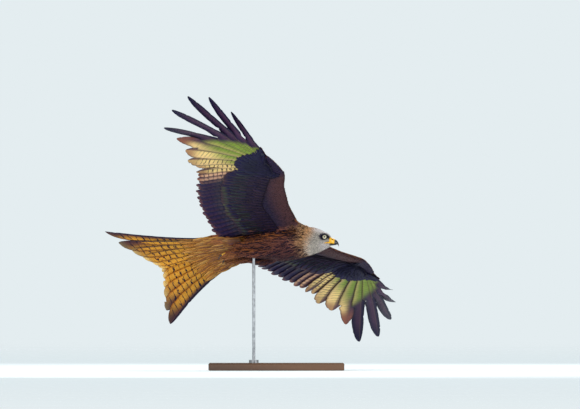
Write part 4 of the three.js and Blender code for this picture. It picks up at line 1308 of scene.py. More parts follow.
@dataclass
class Zones:
    """What grows where on the skin: places and normals are in the bird's frame."""

    body: BodyForm
    plan: WingPlan
    tail: Tail
    co: Array
    normals: Array

    def __post_init__(self) -> None:
        """Works out the shares of wing, head, tail and upper side at each point."""
        x, y = self.co.T[:2]
        self.out = np.abs(y)
        self.wing = step(44, 62, self.out) * step(-150, -128, x)
        self.head = step(30, 62, x) * (1 - self.wing)
        self.rump = step(-130, -200, x) * (1 - self.wing)
        self.above = step(-0.15, 0.25, self.normals[:, 2])
        self.in_head = self.body.to_head(self.co)
        index = np.clip(self.plan.index_at(x, self.out), -0.5, self.plan.count)
        root, tip = self.plan.line(index)
        self.way = unit(tip - root)
        self.beyond = np.sum((np.column_stack([x, self.out]) - root) * self.way, axis=1)

    def regions(self) -> Array:
        """Gives the number of the region at each point."""
        wing = self.wing > 0.5
        side = np.where(self.co[:, 1] > 0, Region.WING_LEFT.value, Region.WING_RIGHT.value)
        trunk = np.where(self.co[:, 0] > -62, Region.BREAST.value, Region.BELLY.value)
        front = np.where(self.co[:, 0] > 36, Region.HEAD.value, trunk)
        x, y, z = self.in_head.T
        eye = (np.hypot(x - 0.3, z - 4.2) < 6.5) & (np.abs(y) > 8)
        hidden = wing & (self.beyond > 36) & (self.out > 72)
        hidden |= ((self.co[:, 0] < -206) & (self.co[:, 2] > -37)) | eye
        return np.where(hidden, Region.BARE.value, np.where(wing, side, front)).astype(float)

    def lie(self) -> Array:
        """Gives the way in which the feathers lie."""
        x, y = self.co.T[:2]
        front = step(16, 2, self.plan.leading_edge(self.out) - x)
        outward_way = (self.way[:, 1] + 0.9 * front) * np.sign(y)
        on_wing = np.column_stack([self.way[:, 0], outward_way, np.zeros(len(x))])
        on_body = np.tile([-1.0, 0, 0], (len(x), 1))
        on_body[:, 1] += 0.25 * np.sign(y) * step(0, 40, self.out) * self.rump
        bill = self.body.from_head(np.array([[24.0, 0, -3]]))[0]
        on_head = unit(self.co - bill) * [1, 1, 0.8]
        flow = on_body + (on_wing - on_body) * self.wing[:, None]
        flow = flow + (on_head - flow) * step(45, 80, x)[:, None] * (1 - self.wing[:, None])
        flow = flow - self.normals * np.sum(flow * self.normals, axis=1, keepdims=True)
        return unit(flow)

    def sizes(self) -> Array:
        """Gives width, length and thickness of a feather at each point, in millimetres."""
        x, _, z = self.co.T
        length = through([[-230, 36], [-150, 36], [-60, 34], [0, 29], [30, 22], [50, 13.5], [66, 8], [80, 5.5]], x)
        length = length + 7 * self.above * step(20, -20, x) * (1 - self.wing)
        muff = step(-150, -175, x) * step(-28, -38, z)
        length = length + (20 - length) * muff
        fold = step(20, 34, self.out) * step(-16, 6, x) * step(-36, -22, z)
        fold = fold * step(48, 30, x)
        length = length + (9.5 - length) * fold
        width = length * through([[-200, 0.19], [-20, 0.19], [30, 0.22], [60, 0.25], [80, 0.32]], x)
        width = width + (4.2 - width) * fold
        back = self.plan.leading_edge(self.out) - x
        wing_length = through([[-4, 9], [12, 10.5], [30, 14], [70, 18], [130, 26]], back)
        wing_length = wing_length + (8 - wing_length) * step(16, 34, self.beyond) * step(46, 62, self.out)
        wing_width = wing_length * through([[0, 0.62], [40, 0.48], [130, 0.42]], back)
        length = length + (wing_length - length) * self.wing
        width = width + (wing_width - width) * self.wing
        return np.column_stack([width, length, 0.24 * width])

    def colours(self) -> Paint:
        """Gives ground, marking and traits at each point."""
        x, _, z = self.co.T
        facing = self.normals[:, 2]
        back = self.plan.leading_edge(self.out) - x
        rim = layered(
            srgb(152, 90, 66), (srgb(150, 92, 80), step(-60, 0, x)),
            (srgb(164, 106, 56), step(-110, -180, x) * (1 - self.above)),
            (srgb(96, 58, 56), step(-45, -70, z) * step(-110, -60, x)),
            (srgb(166, 96, 50), self.above * step(30, 0, x)))
        neck = blend(srgb(236, 178, 124), PALETTE.grey, step(34, 60, x - 0.45 * (z + 33)))
        crown = step(0.1, 0.7, facing) * step(44, 62, x)
        throat = step(-0.2, -0.8, facing) * step(56, 74, x)
        under = layered(
            srgb(88, 56, 58), (srgb(38, 32, 58), step(6, 50, back)),
            (PALETTE.arm, step(280, 318, self.out) * 0.85))
        over = blend(srgb(150, 88, 48), srgb(120, 76, 50), step(0, 60, back))
        # Black round the eye: partly the bird's dark face, partly painted shadow of the brow and socket.
        dark = self.eye_patch_and_shadow() * (1 - self.wing)
        ground = layered(
            rim, (neck, step(-4, 32, x + 0.35 * (z + 33))), (PALETTE.pale, crown), (PALETTE.pale, throat * 0.8),
            (blend(under, over, self.above), self.wing), (PALETTE.black, dark))
        marking = layered(
            srgb(16, 10, 32), (srgb(52, 44, 52), step(44, 68, x)), (PALETTE.rust, step(-140, -190, x)),
            (PALETTE.streak, self.wing), (PALETTE.black, dark))
        streak = through([[-230, 0.5], [-170, 0.7], [-110, 1], [30, 1], [60, 0.85], [80, 0.55]], x)
        streak = streak * (1 - 0.9 * crown)
        streak = streak + (0.55 - streak) * self.wing
        return ground, marking, np.column_stack([np.zeros(len(x)), streak, self.sizes()[:, 1]])

    def eye_patch_and_shadow(self) -> Array:
        """Gives the share of black round the eye and down the lores: partly the bird's dark face, partly painted
        shadow of the brow and the eye's socket.
        """
        x, y, z = self.in_head.T
        ring = step(10.3, 8.9, np.hypot(x - 0.3, z - 4.8)) * step(7, 11, np.abs(y))
        start, end = np.array([1.0, 11.5]), np.array([14.5, 1.5])
        line = end - start
        t = np.clip(((x - start[0]) * line[0] + (z - start[1]) * line[1]) / (line @ line), 0, 1)
        apart = np.hypot(x - start[0] - t * line[0], z - start[1] - t * line[1])
        return np.maximum(ring, step(3.6, 2.0, apart) * step(3, 7, np.abs(y)))


# Plumage that Geometry Nodes spread over the skin


@dataclass(frozen=True)
class PlumeForm:
    """The shape of a small feather, one long and one wide, to be scaled at each place."""

    name: str
    stations: tuple[float, ...] = (-0.1, 0.25, 0.55, 0.8, 0.93, 1.0)
    widths: tuple[float, ...] = (0.16, 0.42, 0.5, 0.4, 0.2, 0.03)
    bend: float = 0.1

    def make(self) -> Object:
        """Makes the feather as a closed form of few faces."""
        rings = []
        for at, wide in zip(self.stations, self.widths):
            level = 0.13 * math.sin(math.pi * min(max(at, 0), 1)) - self.bend * max(at, 0) ** 2
            crest = 0.12 * wide * 2
            rings.append(np.array([
                [wide, at, level - crest], [0, at, level + crest], [-wide, at, level - crest],
                [0, at, level - 0.6 * crest]]))
        points, faces = loft(rings)
        mesh = mesh_of(self.name, points, outward(points, faces))
        across = np.array([1, 0, -1, 0] * len(rings) + [0, 0], float)
        share = np.concatenate([np.repeat(self.stations, 4), [self.stations[0], self.stations[-1]]])
        set_vectors(mesh, "plume", np.column_stack([across, share, np.zeros(len(share))]))
        return new_object(self.name, mesh)


class Tree:
    """Short ways to add and join the nodes of one tree."""

    def __init__(self, tree: NodeTree) -> None:
        """Keeps the tree."""
        self.tree = tree

    def add(self, kind: str, inputs: dict | None = None, **settings: object) -> Node:
        """Adds a node.

        Args:
            kind: the node's type.
            inputs: values or sockets for its inputs, by name or place.
            settings: its own settings.

        Returns:
            The node.
        """
        node = self.tree.nodes.new(kind)
        for name, value in settings.items():
            setattr(node, name, value)
        return self.fill(node, inputs or {})

    def fill(self, node: Node, inputs: dict) -> Node:
        """Gives a node's inputs, by name or place, their values, or joins the sockets to them."""
        for key, value in inputs.items():
            if isinstance(value, NodeSocket):
                self.tree.links.new(value, node.inputs[key])
            else:
                node.inputs[key].default_value = value
        return node

    def math(self, operation: str, *values: object) -> NodeSocket:
        """Adds a Math node and gives its result."""
        return self.add("ShaderNodeMath", dict(enumerate(values)), operation=operation).outputs[0]

    def vector(self, operation: str, first: object, second: object) -> NodeSocket:
        """Adds a Vector Math node of two inputs and gives its result."""
        key = "Scale" if operation == "SCALE" else 1
        node = self.add("ShaderNodeVectorMath", {0: first, key: second}, operation=operation)
        return node.outputs["Value" if operation == "DOT_PRODUCT" else "Vector"]

    def join(self, x: object = 0.0, y: object = 0.0, z: object = 0.0) -> NodeSocket:
        """Adds a vector made of three numbers."""
        return self.add("ShaderNodeCombineXYZ", {0: x, 1: y, 2: z}).outputs[0]

    def random(self, low: float, high: float, seed: int) -> NodeSocket:
        """Adds a random number between low and high."""
        node = self.add("FunctionNodeRandomValue", {2: low, 3: high, "Seed": seed}, data_type="FLOAT")
        return node.outputs[1]

    def named(self, name: str, kind: str = "FLOAT_VECTOR") -> NodeSocket:
        """Adds what is stored under a name."""
        return self.add("GeometryNodeInputNamedAttribute", {"Name": name}, data_type=kind).outputs[0]

    def noise(self, place: NodeSocket, scale: object, detail: float) -> NodeSocket:
        """Adds a noise."""
        return self.add("ShaderNodeTexNoise", {"Vector": place, "Scale": scale, "Detail": detail}).outputs[0]

    def bump(self, height: NodeSocket, strength: float, distance: float) -> NodeSocket:
        """Adds a relief and gives its normal."""
        node = self.add("ShaderNodeBump", {"Height": height, "Strength": strength, "Distance": distance})
        return node.outputs[0]

    def ramp(self, value: object, low: float, high: float, start: float = 0, end: float = 1) -> NodeSocket:
        """Adds a smooth step from start at low to end at high."""
        node = self.add("ShaderNodeMapRange", {0: value, 1: low, 2: high, 3: start, 4: end})
        node.interpolation_type = "SMOOTHSTEP"
        return node.outputs[0]

    def mix(self, share: object, first: object, second: object, kind: str = "MIX") -> NodeSocket:
        """Adds a mix of two colours."""
        node = self.add("ShaderNodeMix", data_type="RGBA", blend_type=kind)
        places = {socket.identifier: place for place, socket in enumerate(node.inputs)}
        for key, value in (("Factor_Float", share), ("A_Color", first), ("B_Color", second)):
            if isinstance(value, tuple) and len(value) == 3:
                value = (*value, 1.0)
            self.fill(node, {places[key]: value})
        return next(found for found in node.outputs if found.identifier == "Result_Color")


def new_group(name: str, kind: str, inputs: dict[str, str], outputs: dict[str, str]) -> Tree:
    """Starts a node group.

    Args:
        name: of the group.
        kind: of its tree.
        inputs: kind of socket of each named input.
        outputs: likewise.

    Returns:
        Its tree.
    """
    group = bpy.data.node_groups.new(name, kind)
    for way, sockets in (("INPUT", inputs), ("OUTPUT", outputs)):
        for key, socket in sockets.items():
            group.interface.new_socket(key, in_out=way, socket_type="NodeSocket" + socket)
    return Tree(group)


@dataclass(frozen=True)
class Coat:
    """One piece of small plumage over a region of the skin."""

    name: str
    region: Region
    spacing: float
    lift: float
    seed: int
    form: PlumeForm
    most_uneven: float = 0.1
    least_bend: float = 0.7
    least_twist: float = 0.8
    farthest: float = 0.009

    def tree(self) -> NodeTree:
        """Builds the tree that sets, turns and sizes the feathers."""
        tree = new_group(self.name, "GeometryNodeTree", {
            "Geometry": "Geometry", "Feather": "Object", "Spacing": "Float", "Region": "Float", "Lift": "Float",
            "Seed": "Int", "Finish": "Material"}, {"Geometry": "Geometry"})
        given = tree.add("NodeGroupInput").outputs
        here = tree.math("COMPARE", tree.named("region", "FLOAT"), given["Region"], 0.2)
        spread = tree.add(
            "GeometryNodeDistributePointsOnFaces",
            {"Mesh": given["Geometry"], "Selection": here, "Distance Min": given["Spacing"], "Density Max": 4e6,
             "Seed": given["Seed"]},
            distribute_method="POISSON",
        ).outputs
        frame_turn = tree.add(
            "FunctionNodeAxesToRotation",
            {"Primary Axis": spread["Normal"], "Secondary Axis": tree.named("lie")},
            primary_axis="Z", secondary_axis="Y",
        ).outputs[0]
        marked, place = spread["Points"], tree.add("GeometryNodeInputPosition").outputs[0]
        for name, value in (("root", place), ("out", spread["Normal"])):
            marked = tree.add(
                "GeometryNodeStoreNamedAttribute", {"Geometry": marked, "Name": name, "Value": value},
                data_type="FLOAT_VECTOR", domain="POINT",
            ).outputs[0]
        tilt = tree.math("MULTIPLY", tree.random(0.6, 1.35, 5), given["Lift"])
        local = tree.join(tilt, z=tree.random(-0.16, 0.16, 3))
        turn = tree.add("FunctionNodeEulerToRotation", {0: local}).outputs[0]
        turned = tree.add(
            "FunctionNodeRotateRotation", {0: frame_turn, 1: turn}, rotation_space="LOCAL"
        ).outputs[0]
        scale = tree.vector("SCALE", tree.named("size"), tree.random(0.82, 1.15, 9))
        feather = tree.add("GeometryNodeObjectInfo", {"Object": given["Feather"], "As Instance": True})
        placed = tree.add(
            "GeometryNodeInstanceOnPoints",
            {"Points": marked, "Instance": feather.outputs["Geometry"], "Rotation": turned, "Scale": scale},
        ).outputs[0]
        seeded = tree.add(
            "GeometryNodeStoreNamedAttribute",
            {"Geometry": placed, "Name": "shade", "Value": tree.random(0.0, 1.0, 17)},
            data_type="FLOAT", domain="INSTANCE",
        ).outputs[0]
        real = tree.add("GeometryNodeRealizeInstances", {0: seeded}).outputs[0]
        laid = self.hug(tree, real, given["Geometry"])
        dressed = tree.add("GeometryNodeSetMaterial", {"Geometry": laid, "Material": given["Finish"]}).outputs[0]
        tree.add("NodeGroupOutput", {0: dressed})
        return tree.tree

    @staticmethod
    def hug(tree: Tree, feathers: NodeSocket, skin: NodeSocket) -> NodeSocket:
        """Bends feathers to the skin, so that each point keeps its height over it.

        Args:
            tree: that is being built.
            feathers: the realized feathers, with the place and normal of their roots.
            skin: the surface under them.

        Returns:
            The bent feathers.
        """
        place = tree.add("GeometryNodeInputPosition").outputs[0]
        found = [
            tree.add("GeometryNodeSampleNearestSurface", {"Mesh": skin, "Value": value, "Sample Position": place},
                     data_type="FLOAT_VECTOR").outputs[0]
            for value in (place, tree.add("GeometryNodeInputNormal").outputs[0])
        ]
        root, out = tree.named("root"), tree.named("out")
        over_root, over_skin = (
            tree.vector("DOT_PRODUCT", tree.vector("SUBTRACT", place, foot), way)
            for foot, way in ((root, out), found)
        )
        strength = tree.ramp(tree.vector("DOT_PRODUCT", out, found[1]), -0.1, 0.35)
        wanted = tree.math("MAXIMUM", over_root, LEAST_HEIGHT)
        move = tree.math("MULTIPLY", tree.math("SUBTRACT", wanted, over_skin), strength)
        shift = tree.vector("SCALE", found[1], move)
        return tree.add("GeometryNodeSetPosition", {"Geometry": feathers, "Offset": shift}).outputs[0]

    def grow(self, skin: Object, finish: Material, slot: str) -> Object:
        """Grows the piece on the skin and makes it a plain mesh.

        Args:
            skin: that carries it.
            finish: its material.
            slot: not used.

        Returns:
            The piece.
        """
        group = self.tree()
        feather = self.form.make()
        carrier = new_object(self.name + "_carrier", skin.data)
        modifier = carrier.modifiers.new("plumage", "NODES")
        modifier.node_group = group
        values = {"Feather": feather, "Spacing": self.spacing * MM, "Region": float(self.region.value),
                  "Lift": self.lift, "Seed": self.seed, "Finish": finish}
        for item in group.interface.items_tree:
            if item.item_type == "SOCKET" and item.in_out == "INPUT" and item.name in values:
                modifier[item.identifier] = values[item.name]
        mesh = evaluated_mesh(carrier)
        mesh.name = self.name
        self.comb(mesh, skin)
        bpy.data.objects.remove(carrier)
        bpy.data.objects.remove(feather)
        self.finish_mesh(mesh)
        return fit_piece(new_object(self.name, mesh), finish)

    def comb(self, mesh: Mesh, skin: Object) -> None:
        """Takes out the feathers that a fold of the skin has crumpled or left in the air."""
        stations, widths = np.array(self.form.stations), np.array(self.form.widths)
        count = 4 * len(stations) + 2
        rings = get_points(mesh).reshape(-1, count, 3)[:, :-2].reshape(-1, len(stations), 4, 3)
        steps = np.diff(rings.mean(axis=2), axis=1)
        wide = rings[:, :-1, 0] - rings[:, :-1, 2]
        parts, spans = np.linalg.norm(steps, axis=2), np.linalg.norm(wide, axis=2)
        parts, spans = (values / values.sum(axis=1, keepdims=True) for values in (parts, spans))
        torn = np.abs(parts - np.diff(stations) / np.ptp(stations)).max(axis=1)
        spread = np.abs(spans - widths[:-1] / widths[:-1].sum()).max(axis=1)
        bend = np.sum(unit(steps[:, 1:]) * unit(steps[:, :-1]), axis=2).min(axis=1)
        twist = np.sum(unit(wide[:, 1:]) * unit(wide[:, :-1]), axis=2).min(axis=1)
        ends = rings[:, -1].mean(axis=1)
        off = np.array([np.linalg.norm(end - skin.closest_point_on_mesh(end)[1]) for end in ends])
        lost = (np.maximum(torn, spread) > self.most_uneven) | (off > self.farthest)
        lost |= (bend < self.least_bend) | (twist < self.least_twist)
        form = bmesh.new()
        form.from_mesh(mesh)
        gone = [vert for vert, out in zip(form.verts, np.repeat(lost, count)) if out]
        bmesh.ops.delete(form, geom=gone, context="VERTS")
        form.to_mesh(mesh)
        form.free()
        log.info("%s: %d of %d feathers combed out", self.name, lost.sum(), len(lost))

    def finish_mesh(self, mesh: Mesh) -> None:
        """Gives the grown mesh its seeds, bake map and smooth faces, and drops what only grew it."""
        plume = get_vectors(mesh, "plume")
        plume[:, 2] = read(mesh.attributes["shade"].data, "value", 1)
        mesh.attributes["plume"].data.foreach_set("vector", plume.ravel())
        root = FLIGHT.to_bird(get_vectors(mesh, "root").astype(float))
        patch = np.column_stack([plume[:, 0] / 2, plume[:, 1] - 0.5]) * PATCH * 0.9
        places = self.unwrap(root) + patch
        for name in ("root", "out", "shade", "lie", "size"):
            mesh.attributes.remove(mesh.attributes[name])
        for layer in list(mesh.uv_layers):
            mesh.uv_layers.remove(layer)
        set_bake_map(mesh, places)
        mesh.shade_smooth()

    def unwrap(self, root: Array) -> Array:
        """Gives each root its place in the map: round and along the body, or over and under a wing."""
        x, y, z = root.T
        if self.region in (Region.WING_LEFT, Region.WING_RIGHT):
            upper = z > WingPlan().height(x, np.abs(y))
            across = 0.02 + 0.46 * (np.abs(y) - 20) / 410 + 0.5 * upper
            return np.column_stack([across, 0.03 + 0.94 * (x + 170) / 250])
        turn = (np.arctan2(y, z + 30) / (2 * np.pi) + 0.5) * 0.98 + 0.01
        low, high = {Region.HEAD: (34, 105), Region.BREAST: (-64, 38)}.get(self.region, (-290, -60))
        return np.column_stack([turn, 0.02 + 0.96 * (x - low) / (high - low)])


# Head


@dataclass
class Head:
    """Eyes, lids, cere, bill and gape, in the head's frame."""

    body: BodyForm
    eye_side: float = 13.6
    eye_height: float = 4
    eye_radius: float = 7
    gaze_forward: float = 12
    cere_front: float = 24.5
    upper: Table = (
        (7, 6.5, -11, 9.4), (13, 6.2, -10.9, 8.4), (20, 4.4, -10.8, 6.9), (27, 1.6, -10.6, 5.0),
        (31.5, -1.8, -10.8, 3.8), (34.6, -6.0, -12.0, 2.7), (36.6, -10.6, -14.2, 1.6), (37.5, -15.6, -17, 0.45),
    )
    lower: Table = (
        (6, -11.0, -15.6, 7.8), (14, -10.9, -14.6, 6.4), (21, -10.6, -13.4, 4.8), (27, -10.5, -12.4, 3.2),
        (30, -10.8, -11.9, 1.6),
    )

    def gaze(self, side: float) -> tuple[Array, Array, Array]:
        """Gives the way in which an eye looks, and the ways across and up from it."""
        turn = math.radians(self.gaze_forward)
        ahead = np.array([math.sin(turn), side * math.cos(turn), 0])
        across = unit(np.cross(ahead, [0, 0, 1]))
        return ahead, across, np.cross(across, ahead)

    def piece(self, name: str, points: Array, faces: Faces) -> Object:
        """Places a form of the head in the scene."""
        placed = FLIGHT.to_row(self.body.from_head(points))
        return new_object(name, mesh_of(name, placed, outward(points, faces)))

    def eye(self, side: float, name: str) -> Object:
        """Makes one eyeball, with the angle from its gaze on each point."""
        gaze, across, up = self.gaze(side)
        sides = 48
        around = circle(sides, across, up)
        rings = []
        for angle in np.radians(np.linspace(1.5, 178.5, 48)):
            radius = self.eye_radius + 0.35 * math.exp(-((angle / 0.75) ** 4))
            rings.append(radius * (math.cos(angle) * gaze + math.sin(angle) * around))
        points, faces = loft(rings)
        made = self.piece(name, points + [0, side * self.eye_side, self.eye_height], faces)
        angles = np.degrees(np.arccos(np.clip(unit(points) @ gaze, -1, 1)))
        spin = np.concatenate([np.tile(2 * np.pi * np.arange(sides) / sides, len(rings)), [0, 0]]) / (2 * np.pi)
        set_vectors(made.data, "look", np.column_stack([angles, spin, spin * 0]))
        return made

    def lids(self, side: float, name: str) -> Object:
        """Makes the bare ring of the lids round one eye."""
        gaze, across, up = self.gaze(side)
        centre = np.array([0, side * self.eye_side, self.eye_height])
        steps, sides = 56, 12
        rings = []
        for turn in np.linspace(0, 2 * np.pi, steps, endpoint=False):
            out = math.cos(turn) * across + math.sin(turn) * up
            wide = 6.0 - 1.0 * max(math.sin(turn), 0) ** 2 - 0.25 * max(-math.sin(turn), 0) ** 2
            tube = 1.1 + 0.5 * max(math.sin(turn), 0)
            middle = centre + gaze * 4.5 + out * (wide + 0.35)
            wrinkle = 1 + 0.05 * math.sin(turn * 14)
            rings.append(middle + tube * wrinkle * circle(sides, out, gaze))
        faces = []
        for i in range(steps):
            here, after = i * sides, (i + 1) % steps * sides
            for j in range(sides):
                k = (j + 1) % sides
                faces.append([here + j, after + j, after + k, here + k])
        return self.piece(name, np.vstack(rings), faces)

    def brow(self, side: float, name: str) -> Object:
        """Makes the ridge that shades one eye."""
        places = ((-1, 10.6), (3, 10.9), (6.5, 9.8), (9.5, 6.8))
        line = [self.body.face_point(x, side, z, -0.9) for x, z in places]
        return self.piece(name, *limb(line, [[0, 0.5], [0.4, 1.3], [0.8, 1.2], [1, 0.4]], 14, 18))

    def bill_rings(self, profile: Table, low: float, high: float, count: int, grow: float) -> list[Array]:
        """Gives rings of half a bill; where it is grown, it also swells as it leaves the face.

        Args:
            profile: x, top, bottom and half width along it.
            low: where the rings begin.
            high: where they end.
            count: of rings.
            grow: how far they stand out.

        Returns:
            The rings.
        """

        def swell(x: float) -> float:
            """Gives the rear lip's height at a place along the bill."""
            return 1.3 * math.exp(-(((x - 12.6) / 2.2) ** 2)) if grow else 0.0

        table = np.array(profile, float)
        knots = np.arange(len(table))
        fine = np.linspace(0, len(table) - 1, 200)
        smooth = np.column_stack([through(np.column_stack([knots, table[:, k]]), fine) for k in range(4)])
        keep = smooth[(smooth[:, 0] >= low) & (smooth[:, 0] <= high)]
        chosen = keep[np.linspace(0, len(keep) - 1, count).astype(int)]
        rings = []
        for x, top, bottom, wide in chosen:
            half = (top - bottom) / 2 + grow + swell(x)
            rings.append(oval(x, (top + bottom) / 2, wide + grow + swell(x), half, 120 if grow else 56, 2.3))
        return rings

    def cere(self) -> Object:
        """Makes the bare skin over the bill's base, with its nostrils, whose hollows are darkened with painted
        shade.
        """
        rings = self.bill_rings(self.upper, 7, self.cere_front + 0.4, 64, 0.25)
        rings.append(rings[-1] * [1, 0.93, 0.93] + [0.5, 0, -0.15])
        points, faces = loft(rings)
        x, _, z = points.T
        apart = np.hypot((x - 19.2) / 2.3, (z - 0.2 - 0.45 * (x - 19.2)) / 1.3)
        dark = step(-8.7, -9.9, z) * step(12, 16, x)
        for side, _ in SIDES:
            hollow = step(1.15, 0.55, apart) * (points[:, 1] * side > 0)
            points[:, 1] -= side * 1.9 * hollow
            rim = step(1.7, 1.25, apart) * step(0.9, 1.15, apart) * (points[:, 1] * side > 0)
            points[:, 1] += side * 0.3 * rim
            # Painted shade: the nostrils' hollows are darkened as the shaded insides of the openings.
            dark = np.maximum(dark, hollow)
        made = self.piece("cere_hide", points, faces)
        set_vectors(made.data, "look", np.column_stack([dark] * 3))
        return made

    def bill(self, name: str, profile: Table, low: float) -> Object:
        """Makes one half of the bill."""
        points, faces = loft(self.bill_rings(profile, low, 99, 44, 0))
        made = self.piece(name, points, faces)
        reach = np.clip((points[:, 0] - low) / (profile[-1][0] - low), 0, 1)
        set_vectors(made.data, "look", np.column_stack([reach] * 3))
        return made

    def gape(self, side: float, name: str) -> Object:
        """Makes the yellow lip from the bill back to the corner of the mouth."""
        places = ((19.5, -7.6), (14, -8.2), (10, -9.4), (5.5, -11.0), (0.5, -12.8))
        line = np.array([self.body.face_point(x, side, z, -0.9) for x, z in places])
        line[0, 1] = side * 4.2
        points, faces = limb(line, [[0, 1.0], [0.3, 2.2], [0.6, 1.4], [0.85, 0.8], [1, 0.35]], 20, 30)
        rings = points[:-2].reshape(-1, 20, 3)
        middle = rings.mean(axis=1, keepdims=True)
        rings[:] = middle + (rings - middle) * [1, 0.5, 1]
        crease = np.exp(-(((rings[..., 2:] - middle[..., 2:]) / 0.55) ** 2))
        rings[..., 1:2] -= side * 0.45 * crease
        return self.piece(name, points, faces)

    def make(self, finishes: "Finishes") -> None:
        """Makes and dresses all the pieces of the head."""
        for side, name in SIDES:
            fit_piece(self.eye(side, "eyeball_" + name), finishes.eye, ["eye_" + name])
            fit_piece(self.lids(side, "lids_" + name), finishes.lid)
            fit_piece(self.brow(side, "brow_" + name), finishes.lid)
            fit_piece(self.gape(side, "gape_" + name), finishes.cere)
        fit_piece(self.cere(), finishes.cere, ["cere"])
        fit_piece(self.bill("bill_over", self.upper, self.cere_front - 2), finishes.horn, ["bill_upper"])
        fit_piece(self.bill("bill_under", self.lower, 6), finishes.horn, ["bill_lower"])


# Legs


@dataclass
class Foot:
    """One foot, drawn up under the tail with closed toes."""

    side: float

    def make(self, finishes: "Finishes") -> None:
        """Makes shank, toes and claws."""
        name = "left" if self.side > 0 else "right"
        mirror = np.array([1, self.side, 1])
        shank = np.array([[-150, 20.5, -46.5], [-176, 19, -44], [-192, 18, -42]])
        bodies = [limb(shank * mirror, [[0, 4.6], [0.3, 4.0], [0.7, 3.6], [1, 4.2]], 20, 30)]
        claws = []
        for spread, reach in ((-10, 22), (-2, 27), (6, 21)):
            y = 18 + spread
            knuckles = np.array([[-189, 18, -42.5], [-198, 18 + 0.6 * spread, -43], [-190 - reach, y, -46.5]])
            radii = [[0, 3.7], [0.35, 3.3], [0.55, 3.6], [0.8, 3.0], [1, 2.6]]
            bodies.append(limb(knuckles * mirror, radii, 16, 26))
            hook = np.array([[-189 - reach, y, -46.3], [-195.5 - reach, y, -49], [-196.5 - reach, y, -55.5]])
            claws.append(limb(hook * mirror, [[0, 2.0], [0.5, 1.5], [1, 0.25]], 14, 18))
        self.piece("foot_skin_" + name, bodies, finishes.foot, "yellow_skin", ["foot_" + name])
        self.piece("claws_" + name, claws, finishes.horn, "horn")

    def piece(
        self, name: str, bodies: Sequence[Body], finish: Material, slot: str, nodes: Sequence[str] = ()
    ) -> None:
        """Joins limbs into one piece of the scene."""
        points, faces = gathered(bodies)
        made = new_object(name, mesh_of(name, FLIGHT.to_row(points), faces))
        set_vectors(made.data, "look", np.full((len(points), 3), DARK_MARK))
        fit_piece(made, finish, nodes)


# Finishes


def barb_group() -> NodeTree:
    """Builds the shared group that draws barbs, bars and the shaft's streak on a vane."""
    inputs = dict.fromkeys(("Plume", "Traits"), "Vector")
    inputs |= dict.fromkeys(
        ("Bar Pitch", "Bar Share", "Streak Width", "Barb Pitch", "Rim", "Painted Root Shade"), "Float")
    outputs = dict.fromkeys(("Mark", "Height", "Tint", "Shaft"), "Float")
    tree = new_group("vane_pattern", "ShaderNodeTree", inputs, outputs)
    times, plus, minus, ratio = (partial(tree.math, kind) for kind in ("MULTIPLY", "ADD", "SUBTRACT", "DIVIDE"))
    given = tree.add("NodeGroupInput").outputs
    bar_pitch, barb_pitch = given["Bar Pitch"], given["Barb Pitch"]
    plume = tree.add("ShaderNodeSeparateXYZ", {0: given["Plume"]}).outputs
    trait = tree.add("ShaderNodeSeparateXYZ", {0: given["Traits"]}).outputs
    side = tree.math("ABSOLUTE", plume[0])
    distance = times(plume[1], trait[2])
    offset = times(plume[2], 40.0)
    place = tree.join(plume[0], distance, offset)
    wobble = tree.noise(tree.vector("MULTIPLY", place, (1.6, 0.16, 1.0)), 1.0, 2.0)
    skew = times(side, times(bar_pitch, 0.3))
    uneven = times(minus(wobble, 0.5), bar_pitch)
    line = plus(plus(distance, skew), plus(uneven, offset))
    half = times(bar_pitch, 0.5)
    wave = ratio(tree.math("PINGPONG", line, half), half)
    threshold = minus(1.0, given["Bar Share"])
    bars = times(tree.ramp(wave, threshold, plus(threshold, 0.12)), trait[0])
    ragged = plus(side, times(minus(wobble, 0.5), 0.5))
    outer = times(given["Streak Width"], plus(0.65, times(plume[2], 0.7)))
    streak = tree.ramp(ragged, times(outer, 0.45), outer, 1, 0)
    begun = tree.ramp(plume[1], 1.0, 0.86)
    strong = times(tree.ramp(plume[2], 0.1, 0.6, 0.5), trait[1])
    mark = tree.math("MAXIMUM", bars, times(times(streak, begun), strong))
    slant = minus(distance, times(side, times(barb_pitch, 7.0)))
    barbs = times(tree.math("SINE", times(ratio(slant, barb_pitch), 2 * math.pi)), 0.3)
    ridge = tree.ramp(side, 0.1, 0.02)
    strands = tree.noise(tree.join(ratio(slant, barb_pitch), times(side, 1.5), offset), 0.8, 3.0)
    height = plus(plus(barbs, strands), times(ridge, 2.0))
    clumps = tree.noise(tree.vector("MULTIPLY", place, (2.2, 0.5, 3.0)), 1.0, 3.0)
    fine = plus(times(clumps, 0.3), times(strands, 0.6))
    tint = plus(0.42, plus(fine, times(plume[2], 0.26)))
    rim = times(tree.ramp(side, 0.45, 1.0), given["Rim"])
    # Painted shade: the tint darkens towards each feather's root, where the feathers lying over it would shade it.
    root = times(tree.ramp(plume[1], 0.75, 0.2), given["Painted Root Shade"])
    tint = times(plus(tint, rim), minus(1.0, root))
    tree.add("NodeGroupOutput", {"Mark": mark, "Height": height, "Tint": tint, "Shaft": ridge})
    return tree.tree


